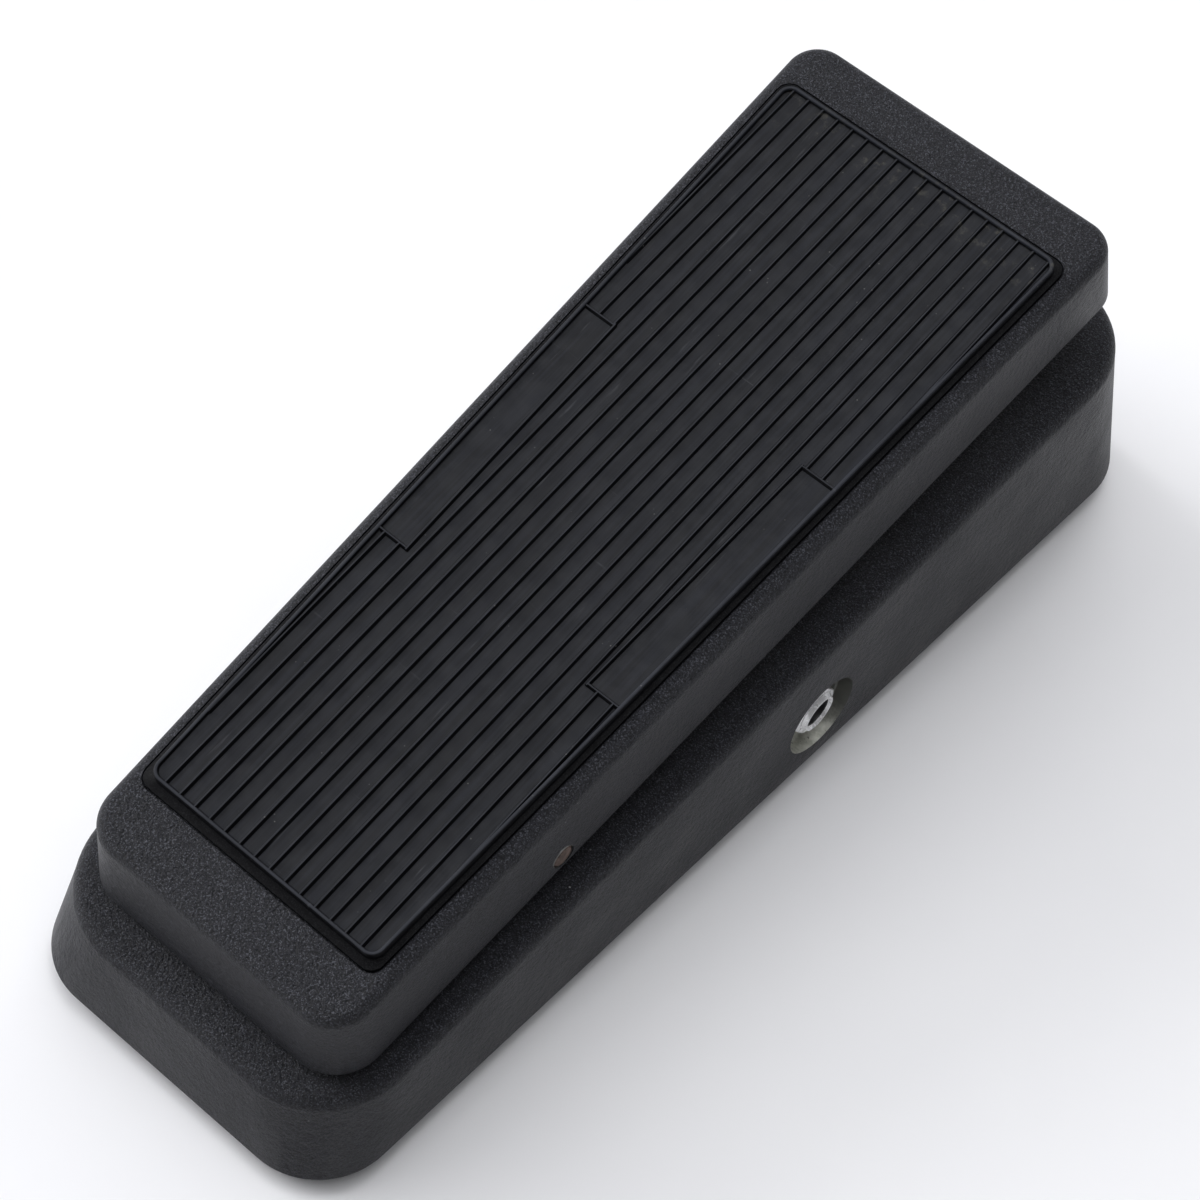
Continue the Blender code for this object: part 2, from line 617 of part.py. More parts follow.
def side_extrusion(plan, x_low, x_high):
    """Extrude a (y, z) side view across X."""
    return loft([[(x, y, z) for y, z in plan] for x in (x_low, x_high)])


def rack(frame):
    bar = add("rack", side_extrusion(rack_outline(), -RACK_HALF_X, RACK_HALF_X), "white_nylon", frame,
              Matrix.Translation((0, -RACK_Y, -PIN_Z)))
    middle, reach = 0.0005, 0.0014
    radius = PIN_RADIUS + GAP
    steps = 8
    slot = []
    for side in (1, -1):
        for k in range(steps + 1):
            angle = math.pi * k / steps
            along = middle + side * (reach + radius * math.sin(angle))
            slot.append((along, -side * radius * math.cos(angle)))
    combine(bar, side_extrusion(slot, -0.01, 0.01), "DIFFERENCE")


def clevis(frame):
    """U bracket under the treadle, its cross pin, and the two screws that hold it."""
    top = TREADLE_CEILING - GAP
    sheet = 0.0015
    inner = RACK_HALF_X + 0.0007
    outer = inner + sheet
    low = PIN_RISE - 0.0032
    foot = top - sheet
    view = [(-outer, low), (-inner, low), (-inner, foot), (inner, foot), (inner, low), (outer, low),
            (outer, foot), (0.0115, foot), (0.0115, top), (-0.0115, top), (-0.0115, foot), (-outer, foot)]
    bracket = loft([[(x, PIN_V + v, w) for x, w in view] for v in (-0.0035, 0.0035)])
    body = add("rack_clevis", bracket, "zinc_steel", frame)
    combine(body, rod(PIN_RADIUS + GAP, -0.01, 0.01, 16), "DIFFERENCE", along_x(0, PIN_V, PIN_RISE))
    head = outer + GAP
    pin = [(PIN_RADIUS, -outer - 0.0012), (PIN_RADIUS, head), (0.0024, head), (0.0024, head + 0.001)]
    add("clevis_pin", turned(pin, 16), "bright_nut", frame, along_x(0, PIN_V, PIN_RISE))
    flip = Matrix.Rotation(math.pi, 4, "X")
    for side, word in ((-1, "left"), (1, "right")):
        x = side * 0.0083
        for drilled in (body, bpy.data.objects["treadle"]):
            hole = rod(SCREW_RADIUS + GAP, foot - 0.001, TREADLE_CEILING + 0.0018, 12)
            combine(drilled, hole, "DIFFERENCE", at(x, PIN_V, 0))
        add("clevis_screw_" + word, screw(0.0025, 0.0013, 0.0032), "zinc_steel", frame,
            at(x, PIN_V, foot - GAP) @ flip)


def rack_guide():
    """Nylon channel that keeps the rack upright and in mesh."""
    back, front = RACK_Y - RACK_HALF_Y - GAP, RACK_Y + RACK_HALF_Y - 0.001
    inner = RACK_HALF_X + GAP
    plan = [(-0.0078, back - 0.0045), (0.0060, back - 0.0045), (0.0060, front), (inner, front),
            (inner, back), (-inner, back), (-inner, front), (-0.0078, front)]
    add("rack_guide", prism(plan, FOOT_HEIGHT + 0.0095, FOOT_HEIGHT + 0.0300), "white_nylon")


def involute_tooth(base_radius, start, tip_radius, half_angle, steps=5):
    """Half a tooth flank as (radius, angle from the tooth's centre line)."""
    flank = []
    inv_pitch = math.tan(PRESSURE_ANGLE) - PRESSURE_ANGLE
    for k in range(steps):
        radius = start + (tip_radius - start) * k / (steps - 1)
        pressure = math.acos(min(1.0, base_radius / radius))
        flank.append((radius, half_angle + inv_pitch - (math.tan(pressure) - pressure)))
    return flank


def pinion_outline():
    base_radius = PITCH_RADIUS * math.cos(PRESSURE_ANGLE)
    root, tip = PITCH_RADIUS - 1.1 * TOOTH_MODULE, PITCH_RADIUS + 0.8 * TOOTH_MODULE
    half_angle = math.pi / 2 / PINION_TEETH - BACKLASH / PITCH_RADIUS
    flank = involute_tooth(base_radius, base_radius, tip, half_angle)
    flank = [(root, flank[0][1])] + flank
    points = []
    for tooth in range(PINION_TEETH):
        centre = math.pi + 2 * math.pi * (tooth + 0.5) / PINION_TEETH
        for radius, angle in flank:
            points.append((radius * math.cos(centre - angle), radius * math.sin(centre - angle)))
        for radius, angle in reversed(flank):
            points.append((radius * math.cos(centre + angle), radius * math.sin(centre + angle)))
    return points


def control(frame):
    """Potentiometer on its bracket, with the pinion and shaft that turn in it."""
    place = along_x(0, PINION_Y, PINION_Z)
    gear = side_extrusion(pinion_outline(), -PINION_HALF_X, PINION_HALF_X)
    body = add("pinion", gear, "white_nylon", frame)
    combine(body, rod(CONTROL_SHAFT_RADIUS + GAP, -0.01, 0.01, 16), "DIFFERENCE", along_x(0, 0, 0))
    shaft = turned([(CONTROL_SHAFT_RADIUS, -0.0125), (CONTROL_SHAFT_RADIUS, 0.0040)], 16)
    add("control_shaft", shaft, "zinc_steel", frame, along_x(0, 0, 0))
    bore = CONTROL_SHAFT_RADIUS + GAP
    thread = 0.0035
    sheet_face = -0.0082
    can = [(0.0001, -0.0200), (CONTROL_RADIUS - 0.0008, -0.0200), (CONTROL_RADIUS, -0.0192),
           (CONTROL_RADIUS, -0.0100), (thread, -0.0100), (thread, -0.0042), (bore, -0.0042),
           (bore, -0.0135), (0.0001, -0.0135)]
    add("control_body", turned(can, bored=True), "zinc_steel", place=place)
    nut = prism(hexagon(0.0100), sheet_face + GAP, sheet_face + GAP + 0.0020)
    made = add("control_nut", nut, "bright_nut", place=place)
    combine(made, rod(thread + GAP, -0.05, 0.05, 16), "DIFFERENCE", place)
    control_bracket(thread, sheet_face)


def control_bracket(thread, sheet_face):
    """Bent sheet: an upright that carries the control, a flange screwed up to the base."""
    sheet = 0.0015
    low, flange = FOOT_HEIGHT + 0.0080, BRACKET_TOP - sheet
    view = [(sheet_face - sheet, low), (sheet_face, low), (sheet_face, BRACKET_TOP),
            (-0.0215, BRACKET_TOP), (-0.0215, flange), (sheet_face - sheet, flange)]
    y_low, y_high = 0.0370, 0.0600
    bracket = loft([[(x, y, z) for x, z in view] for y in (y_low, y_high)])
    body = add("control_bracket", bracket, "zinc_steel")
    combine(body, rod(thread + GAP, -0.02, 0.0, 16), "DIFFERENCE", along_x(0, PINION_Y, PINION_Z))
    flip = Matrix.Rotation(math.pi, 4, "X")
    for word, (x, y) in BRACKET_SCREWS.items():
        for drilled in (body, bpy.data.objects["base_housing"]):
            hole = rod(SCREW_RADIUS + GAP, flange - 0.001, BRACKET_TOP + 0.0040, 12)
            combine(drilled, hole, "DIFFERENCE", at(x, y, 0))
        add("bracket_screw_" + word, screw(0.0023, 0.0011, 0.0050), "zinc_steel",
            place=at(x, y, flange - GAP) @ flip)


# ---- toe switch ----------------------------------------------------------------------------
def switch_frame():
    """Frame on the sloping top, its Z along the switch's axis."""
    return at(0, SWITCH_Y, top_z(SWITCH_Y)) @ Matrix.Rotation(BASE_TILT, 4, "X")


def toe_switch(frame):
    place = switch_frame()
    under = -TOP_THICKNESS - GAP
    half = 0.0085
    case = add("switch_body", block((-half, -half, under - 0.0190), (half, half, under)), "black_plastic",
               place=place)
    combine(case, rod(0.0060, under - 0.001, 0.0050), "UNION", place)
    combine(case, rod(PLUNGER_RADIUS + GAP, -0.0050, 0.02), "DIFFERENCE", place)
    add("switch_washer", tube(0.0088, 0.0063, GAP, 0.0010), "zinc_steel", place=place)
    nut = add("switch_nut", prism(hexagon(0.0150), 0.0013, 0.0036), "bright_nut", place=place)
    combine(nut, rod(0.0063, -0.01, 0.01), "DIFFERENCE", place)
    plunger = [(PLUNGER_RADIUS, -0.0018), (PLUNGER_RADIUS, PLUNGER_TOP - 0.0008),
               (PLUNGER_RADIUS - 0.0008, PLUNGER_TOP)]
    add("switch_plunger", turned(plunger), "bright_nut", frame)


# ---- jacks ---------------------------------------------------------------------------------
def jack(side, word):
    """Quarter-inch jack: body inside, threaded nose through the wall, hexagon nut in the recess."""
    behind = JACK_FACE - WALL - GAP
    half = JACK_BODY_HALF
    place = along_x(0, JACK_Y, JACK_Z, side)
    case = block((-half, -half, JACK_BODY_END), (half, half, behind))
    body = add(word + "_jack", case, "black_plastic", place=place)
    combine(body, rod(JACK_THREAD_RADIUS, behind - 0.001, JACK_MOUTH), "UNION", place)
    bore = rod(JACK_BORE_RADIUS, JACK_BODY_END + 0.002, JACK_MOUTH + 0.01)
    combine(body, bore, "DIFFERENCE", place)
    seat = JACK_FACE + GAP
    hexagonal = prism(hexagon(JACK_NUT_FLATS), seat, seat + JACK_NUT_HEIGHT)
    nut = add(word + "_jack_nut", hexagonal, "bright_nut", place=place)
    combine(nut, rod(JACK_THREAD_RADIUS + GAP, 0.0, 0.1), "DIFFERENCE", place)


# ---- circuit -------------------------------------------------------------------------------
def circuit_board():
    top = BOARD_Z + BOARD_THICKNESS
    board = add("circuit_board", block((-0.030, -0.050, BOARD_Z), (0.030, 0.000, top)), "green_board")
    for x, y in BOARD_SCREWS.values():
        combine(board, rod(SCREW_RADIUS + GAP, 0.0, 0.03, 12), "DIFFERENCE", at(x, y, 0))
    flip = Matrix.Rotation(math.pi, 4, "X")
    for word, (x, y) in BOARD_SCREWS.items():
        add("board_screw_" + word, screw(0.0025, 0.0012, 0.0062), "zinc_steel",
            place=at(x, y, BOARD_Z - GAP) @ flip)
    base = top + GAP
    coil = [(0.0085, 0.0), (0.0085, 0.0025), (0.0070, 0.0030), (0.0070, 0.0080), (0.0085, 0.0085),
            (0.0085, 0.0110)]
    add("inductor", turned(coil), "copper_ferrite", place=at(-0.012, -0.033, base))
    for word, x in (("first", 0.006), ("second", 0.016)):
        add("transistor_" + word, half_round(0.0024, 0.0050), "black_plastic", place=at(x, -0.040, base))
    for word, y in (("coupling", -0.026), ("sweep", -0.016)):
        add("capacitor_" + word, block((-0.006, -0.0025, 0.0), (0.006, 0.0025, 0.0090)), "blue_film",
            place=at(0.004, y, base))
    can = [(0.0040, 0.0), (0.0040, 0.0100), (0.0034, 0.0106)]
    add("capacitor_supply", turned(can), "black_plastic", place=at(0.0185, -0.022, base))


def half_round(radius, height):
    """Flat-fronted transistor case."""
    steps = 10
    plan = []
    for k in range(steps + 1):
        angle = math.radians(-140 + 280 * k / steps)
        plan.append((radius * math.cos(angle), radius * math.sin(angle)))
    return prism(plan, 0.0, height)


BATTERY_Y = -0.0728
BATTERY_LOW = PLATE_TOP + 0.0018


def battery():
    half_x, half_y = BATTERY_LENGTH / 2 - 0.0025, BATTERY_WIDTH / 2
    plan = [(-half_x, BATTERY_Y - half_y), (half_x, BATTERY_Y - half_y),
            (half_x, BATTERY_Y + half_y), (-half_x, BATTERY_Y + half_y)]
    cell = add("battery", prism(plan, BATTERY_LOW, BATTERY_LOW + BATTERY_THICKNESS), "battery_wrap")
    middle = BATTERY_LOW + BATTERY_THICKNESS / 2
    clip_face = half_x + GAP
    cap = block((clip_face, BATTERY_Y - 0.0115, middle - 0.006),
                (clip_face + 0.0035, BATTERY_Y + 0.0115, middle + 0.006))
    clip = add("battery_clip", cap, "black_plastic")
    start, stud = half_x - 0.001, half_x + 0.0026
    for y, radius in ((BATTERY_Y - 0.0063, 0.0029), (BATTERY_Y + 0.0063, 0.0040)):
        place = along_x(0, y, middle)
        combine(cell, rod(radius, start, stud, 16), "UNION", place)
        combine(clip, rod(radius + GAP, start, stud + GAP, 16), "DIFFERENCE", place)
    pad_x = half_x - 0.001
    pad = block((-pad_x, BATTERY_Y - half_y, PLATE_TOP + GAP), (pad_x, BATTERY_Y + half_y, BATTERY_LOW - GAP))
    add("battery_cushion", pad, "grey_foam")


def wire(name, points, slot):
    """An insulated lead along a smooth path between two fixed ends."""
    curve = bpy.data.curves.new(name, "CURVE")
    curve.dimensions = "3D"
    curve.bevel_depth = 0.0007
    curve.bevel_resolution = 1
    curve.use_fill_caps = True
    path = smooth_path([Vector(p) for p in points], 4)
    spline = curve.splines.new("POLY")
    spline.points.add(len(path) - 1)
    for item, p in zip(spline.points, path):
        item.co = (*p, 1.0)
    obj = bpy.data.objects.new(name, curve)
    curve.materials.append(material(slot))
    bpy.context.collection.objects.link(obj)


def smooth_path(points, steps):
    """Points read from a Catmull-Rom curve through the given ones."""
    padded = [points[0] * 2 - points[1]] + points + [points[-1] * 2 - points[-2]]
    path = []
    for a, b, c, d in zip(padded, padded[1:], padded[2:], padded[3:]):
        for k in range(steps):
            t = k / steps
            path.append(0.5 * ((2 * b) + (c - a) * t + (2 * a - 5 * b + 4 * c - d) * t * t
                               + (3 * b - a - 3 * c + d) * t * t * t))
    return path + [points[-1]]


def wires():
    board_top = BOARD_Z + BOARD_THICKNESS + 3 * GAP
    for side, word in ((-1, "output"), (1, "input")):
        path = [(side * 0.0122, JACK_Y, JACK_Z), (side * 0.0100, JACK_Y - 0.003, JACK_Z + 0.001),
                (side * 0.0105, 0.004, JACK_Z + 0.001), (side * 0.0130, -0.005, board_top + 0.004),
                (side * 0.0130, -0.006, board_top)]
        wire(word + "_lead", path, "red_wire")
    clip_x = BATTERY_LENGTH / 2 - 0.0025 + GAP + 0.0035 + 3 * GAP
    middle = BATTERY_LOW + BATTERY_THICKNESS / 2
    wire("battery_lead", [(clip_x, BATTERY_Y + 0.004, middle), (clip_x + 0.0035, BATTERY_Y + 0.009, middle),
                          (0.0235, -0.0575, middle + 0.001), (0.0195, -0.0500, board_top + 0.005),
                          (0.0190, -0.0465, board_top)], "red_wire")


def main():
    for obj in list(bpy.data.objects):
        bpy.data.objects.remove(obj)
    treadle_frame = empty("treadle_frame", (0, PIVOT_Y, PIVOT_Z), (TREADLE_PITCH, 0, 0))
    rack_frame = empty("rack_frame", (0, RACK_Y, PIN_Z))
    pinion_frame = empty("pinion_frame", (0, PINION_Y, PINION_Z))
    plunger_frame = empty("plunger_frame", (0, SWITCH_Y, top_z(SWITCH_Y)), (BASE_TILT, 0, 0))
    bpy.context.view_layer.update()
    base_housing()
    bottom_plate()
    feet()
    treadle(treadle_frame)
    treadle_mat(treadle_frame)
    treadle_bumper(treadle_frame)
    heel_bumper()
    pivot(treadle_frame)
    rack(rack_frame)
    clevis(treadle_frame)
    rack_guide()
    control(pinion_frame)
    toe_switch(plunger_frame)
    jack(-1, "output")
    jack(1, "input")
    circuit_board()
    battery()
    wires()


main()
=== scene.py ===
"""Looks of a rocker (wah) effects pedal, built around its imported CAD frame.

Metres, +Z up, +X to the player's right, +Y from heel to toe, origin on the floor. The
two castings, the rubber mat, the jacks, the feet and the toe switch are modelled again
here with their rounded edges, fillets and fine parts. The other CAD nodes stay and get
procedural materials.
"""
import math

import bmesh
import bpy
from mathutils import Matrix, Vector


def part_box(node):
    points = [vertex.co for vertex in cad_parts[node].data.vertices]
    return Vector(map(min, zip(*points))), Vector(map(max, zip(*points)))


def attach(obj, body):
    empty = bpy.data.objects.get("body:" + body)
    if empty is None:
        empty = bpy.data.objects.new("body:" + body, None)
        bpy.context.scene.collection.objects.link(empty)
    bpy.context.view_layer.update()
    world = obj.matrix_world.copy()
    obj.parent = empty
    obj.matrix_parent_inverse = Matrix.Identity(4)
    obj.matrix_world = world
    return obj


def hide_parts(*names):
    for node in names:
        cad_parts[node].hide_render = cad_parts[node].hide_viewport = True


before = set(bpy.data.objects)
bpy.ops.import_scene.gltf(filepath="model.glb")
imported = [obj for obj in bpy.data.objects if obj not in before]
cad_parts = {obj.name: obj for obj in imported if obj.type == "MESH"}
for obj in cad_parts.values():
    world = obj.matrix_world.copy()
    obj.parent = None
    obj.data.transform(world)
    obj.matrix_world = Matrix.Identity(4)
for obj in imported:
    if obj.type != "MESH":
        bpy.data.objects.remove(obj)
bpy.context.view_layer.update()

# ---- base casting ----------------------------------------------------------------------
FOOT_HEIGHT = 0.0050          # floor to the base casting's lower edge
LENGTH = 0.2540
BASE_HALF_HEEL = 0.0412       # half widths of the lower edge at heel and toe
BASE_HALF_TOE = 0.0508
BASE_CORNER = 0.0172          # plan radius of the lower edge's corners
RIM_INSET_SIDE = 0.0019       # how far the drafted walls lean in
RIM_INSET_HEEL = 0.0042
RIM_INSET_TOE = 0.0097
RIM_HEEL_RISE = 0.0171        # wall height at the heel and at the toe
RIM_TOE_RISE = 0.0468
RIM_CORNER_HEEL = 0.0205
RIM_CORNER_TOE = 0.0187
RIM_ROUND = 0.0030            # radius between wall and sloping top
WALL = 0.0028
TOP_THICKNESS = 0.0030
LOWER_EDGE_ROUND = 0.0003

# ---- treadle, in its own pitched frame at the pivot axis -------------------------------
PIVOT_Y = -0.0554
PIVOT_Z = 0.0426
TREADLE_PITCH = math.radians(9.91)
ARRIS_RISE = 0.01315          # pivot axis up to where the skirt turns into the arris
SKIRT_LOW = -0.00355          # pivot axis to the skirt's lower edge
TREADLE_SHIFT = 0.0005        # the casting sits a little right of the hinge's middle
HEEL_REACH = 0.0573           # pivot axis to the arris at heel and toe
TOE_REACH = 0.1665
TREADLE_HALF_HEEL = 0.0332
TREADLE_HALF_TOE = 0.0403
TREADLE_CORNER_HEEL = 0.0090
TREADLE_CORNER_TOE = 0.0072
HEEL_FLARE = 0.0036           # how far the skirt leans out on the way down
TOE_FLARE = 0.0016
SKIRT_HALF_HEEL = 0.0345
SKIRT_HALF_TOE = 0.0408
SKIRT_CORNER_HEEL = 0.0105
SKIRT_CORNER_TOE = 0.0070
ARRIS_ROUND = 0.0028
TREADLE_WALL = 0.0027

# ---- rubber mat ----------------------------------------------------------------------
MAT_SHIFT = 0.0001
MAT_HEEL_REACH = 0.0415       # pivot axis to the outer ridge at heel and toe
MAT_TOE_REACH = 0.1528
MAT_HALF_HEEL = 0.0289
MAT_HALF_TOE = 0.0349
MAT_CORNER = 0.0029
MAT_FLANGE = 0.0012           # how far the thin flange reaches out past the ridge
MAT_HEEL_FLANGE = 0.0019
MAT_LEDGE = 0.0003            # flange above the casting's top
MAT_POCKET = 0.0008           # depth of the pocket it sits in
POCKET_MARGIN = 0.0004        # clear of the flange all round
MAT_HEIGHT = 0.0022           # outer ridge above the casting's top
MAT_RIDGE = 0.0011            # width of the outer ridge
RIB_HEIGHT = 0.0009           # ridge and ribs above the mat's flat field
RIB_WIDTH = 0.0008
RIB_PITCH = 0.00384
RIB_COUNT = 18
RIB_SHIFT = 0.0002            # middle of the rib pattern
RIB_WEAR = 0.00030            # how much lower the rib tops are at the toe than at the heel
# blank side panels: heel end, toe end, inner rib's distance from the middle at each
PANELS = {-1: (0.0238, 0.0864, 0.0229, 0.0245), 1: (0.0245, 0.0855, 0.0226, 0.0242)}

# ---- pivot, jacks, switch, feet --------------------------------------------------------
GAP = 0.0003                  # air between pieces that touch
PIVOT_SHAFT_RADIUS = 0.0025
PIVOT_SHAFT_HALF = 0.0362     # half its length
EAR_INNER = 0.0220
EAR_OUTER = 0.0290
EAR_RADIUS = 0.0062
BUSH_RADIUS = 0.0040
JACK_Y = 0.0152
JACK_Z = FOOT_HEIGHT + 0.0141
JACK_RECESS_RADIUS = 0.0096
JACK_FACE = 0.0427            # x of the machined recess floor
JACK_MOUTH = 0.0455           # x of the threaded nose's end
JACK_THREAD_RADIUS = 0.0045
JACK_BORE_RADIUS = 0.0034
JACK_NUT_FLATS = 0.0110
JACK_NUT_HEIGHT = 0.0015
JACK_BODY_HALF = 0.0090
JACK_BODY_END = 0.0130        # x of the body's inner end
SWITCH_Y = 0.0880
SWITCH_HOLE_RADIUS = 0.0063
SWITCH_NUT_FLATS = 0.0150
SWITCH_NUT_LOW = 0.0013       # nut above the casting's top
SWITCH_NUT_HIGH = 0.0036
SWITCH_WASHER_RADIUS = 0.0088
SWITCH_WASHER_HIGH = 0.0010
PLUNGER_RADIUS = 0.0040
PLUNGER_TOP = 0.0100
SCREW_RADIUS = 0.0013
FOOT_SCREW_HEAD_RADIUS = 0.0028
FOOT_SCREW_HEAD_HEIGHT = 0.0014
FOOT_BOSS_RADIUS = 0.0045
FOOT_WELL_RADIUS = 0.0034
FOOT_SEAT = 0.0022            # floor to the screw head's seat in the foot
FOOT_PLACES = {"heel_left": (-0.0325, -0.1050), "heel_right": (0.0325, -0.1050),
               "toe_left": (-0.0400, 0.1050), "toe_right": (0.0400, 0.1050)}

# ---- rubs down to the metal: point, stretch, radius ------------------------------------
BASE_RUBS = [((0.0468, 0.0997, 0.0524), (1.0, 0.6, 1.0), 0.0008),
             ((0.0322, -0.1034, 0.0275), (1.0, 1.0, 1.0), 0.0004),
             ((0.0388, -0.0555, 0.0334), (1.0, 1.0, 1.0), 0.0004)]

# ---- stage and camera ------------------------------------------------------------------
FLOOR_HALF = 6.0
SUN_COLOUR = (0.98, 0.984, 1.0)
CAMERA_PLACE = (0.20103, -0.27886, 0.55292)
CAMERA_TARGET = (0.0026, -0.0057, 0.0400)
CAMERA_ROLL = math.radians(6.04)
CAMERA_LENS = 92.17
SENSOR_WIDTH = 36.0

# ---- fineness of the meshes ------------------------------------------------------------
MM = 0.001
CORNER_STEPS = 18
CORNER_RUN_OUT = 0.0015       # straight strip beside each corner that keeps the shading even
ROUND_STEPS = 10
SHARP_ANGLE = 32.0            # degrees

# ---- worked out from the above ---------------------------------------------------------
RIM_HEEL_Y = -LENGTH / 2 + RIM_INSET_HEEL
RIM_TOE_Y = LENGTH / 2 - RIM_INSET_TOE
BASE_SLOPE = (RIM_TOE_RISE - RIM_HEEL_RISE) / (RIM_TOE_Y - RIM_HEEL_Y)
BASE_TILT = math.atan(BASE_SLOPE)
TREADLE_TOP = ARRIS_RISE + ARRIS_ROUND
TREADLE_CEILING = TREADLE_TOP - TOP_THICKNESS
MAT_LENGTH = MAT_HEEL_REACH + MAT_TOE_REACH
MAT_TAPER = (MAT_HALF_TOE - MAT_HALF_HEEL) / MAT_LENGTH
MAT_LOW = TREADLE_TOP - MAT_POCKET + GAP
MAT_HIGH = TREADLE_TOP + MAT_HEIGHT
MAT_FIELD = MAT_HIGH - RIB_HEIGHT
TREADLE_FRAME = Matrix.Translation((0, PIVOT_Y, PIVOT_Z)) @ Matrix.Rotation(TREADLE_PITCH, 4, "X")


# ---- material graphs -------------------------------------------------------------------
class Graph:
    """Short calls that build one material's nodes."""

    def __init__(self, name):
        self.material = bpy.data.materials.new(name)
        self.material.use_nodes = True
        self.tree = self.material.node_tree
        self.shader = self.tree.nodes["Principled BSDF"]
        coordinates = self.add("ShaderNodeTexCoord")
        self.place = coordinates.outputs["Object"]
        self.facing = coordinates.outputs["Normal"]

    def add(self, kind, **settings):
        node = self.tree.nodes.new(kind)
        for key, value in settings.items():
            setattr(node, key, value)
        return node

    def feed(self, socket, value):
        """Link a socket, or set it if the value is a plain number or colour."""
        if isinstance(value, bpy.types.NodeSocket):
            self.tree.links.new(value, socket)
        elif isinstance(value, tuple) and len(value) == 3 and socket.type == "RGBA":
            socket.default_value = (*value, 1.0)
        else:
            socket.default_value = value

    def stretched(self, scale=(1.0, 1.0, 1.0), turn=(0.0, 0.0, 0.0), shift=(0.0, 0.0, 0.0)):
        """The object's own coordinates, scaled and turned."""
        node = self.add("ShaderNodeMapping")
        self.feed(node.inputs["Vector"], self.place)
        node.inputs["Scale"].default_value = scale
        node.inputs["Rotation"].default_value = turn
        node.inputs["Location"].default_value = shift
        return node.outputs["Vector"]

    def noise(self, scale, detail=2.0, roughness=0.5, place=None):
        node = self.add("ShaderNodeTexNoise")
        self.feed(node.inputs["Vector"], place or self.place)
        node.inputs["Scale"].default_value = scale
        node.inputs["Detail"].default_value = detail
        node.inputs["Roughness"].default_value = roughness
        return node.outputs["Fac"]

    def cells(self, scale, feature="F1", place=None, output="Distance"):
        node = self.add("ShaderNodeTexVoronoi", feature=feature)
        self.feed(node.inputs["Vector"], place or self.place)
        node.inputs["Scale"].default_value = scale
        return node.outputs[output]

    def span(self, value, low, high, start=0.0, end=1.0):
        """Smooth step of a value from low to high."""
        node = self.add("ShaderNodeMapRange", interpolation_type="SMOOTHSTEP")
        self.feed(node.inputs["Value"], value)
        node.inputs["From Min"].default_value = low
        node.inputs["From Max"].default_value = high
        node.inputs["To Min"].default_value = start
        node.inputs["To Max"].default_value = end
        return node.outputs["Result"]

    def math(self, operation, first, second=0.0):
        node = self.add("ShaderNodeMath", operation=operation)
        self.feed(node.inputs[0], first)
        self.feed(node.inputs[1], second)
        return node.outputs["Value"]

    def axis(self, letter, place=None):
        node = self.add("ShaderNodeSeparateXYZ")
        self.feed(node.inputs["Vector"], place or self.place)
        return node.outputs[letter]

    def distance(self, point, stretch=(1.0, 1.0, 1.0)):
        """Distance from a point of the object, measured with stretched axes."""
        offset = self.add("ShaderNodeVectorMath", operation="SUBTRACT")
        self.feed(offset.inputs[0], self.place)
        offset.inputs[1].default_value = point
        scaled = self.add("ShaderNodeVectorMath", operation="MULTIPLY")
        self.feed(scaled.inputs[0], offset.outputs["Vector"])
        scaled.inputs[1].default_value = stretch
        length = self.add("ShaderNodeVectorMath", operation="LENGTH")
        self.feed(length.inputs[0], scaled.outputs["Vector"])
        return length.outputs["Value"]

    def mix(self, factor, first, second):
        node = self.add("ShaderNodeMix", data_type="RGBA")
        self.feed(node.inputs["Factor"], factor)
        self.feed(node.inputs[6], first)
        self.feed(node.inputs[7], second)
        return node.outputs[2]

    def bump(self, height, distance, strength=1.0, under=None):
        node = self.add("ShaderNodeBump")
        self.feed(node.inputs["Height"], height)
        node.inputs["Distance"].default_value = distance
        node.inputs["Strength"].default_value = strength
        if under is not None:
            self.feed(node.inputs["Normal"], under)
        return node.outputs["Normal"]

    def finish(self, colour, roughness, metallic=0.0, normal=None, specular=0.5, coat=0.0):
        self.feed(self.shader.inputs["Base Color"], colour)
        self.feed(self.shader.inputs["Roughness"], roughness)
        self.feed(self.shader.inputs["Metallic"], metallic)
        self.feed(self.shader.inputs["Specular IOR Level"], specular)
        self.shader.inputs["Coat Weight"].default_value = coat
        if normal is not None:
            self.feed(self.shader.inputs["Normal"], normal)
        return self.material


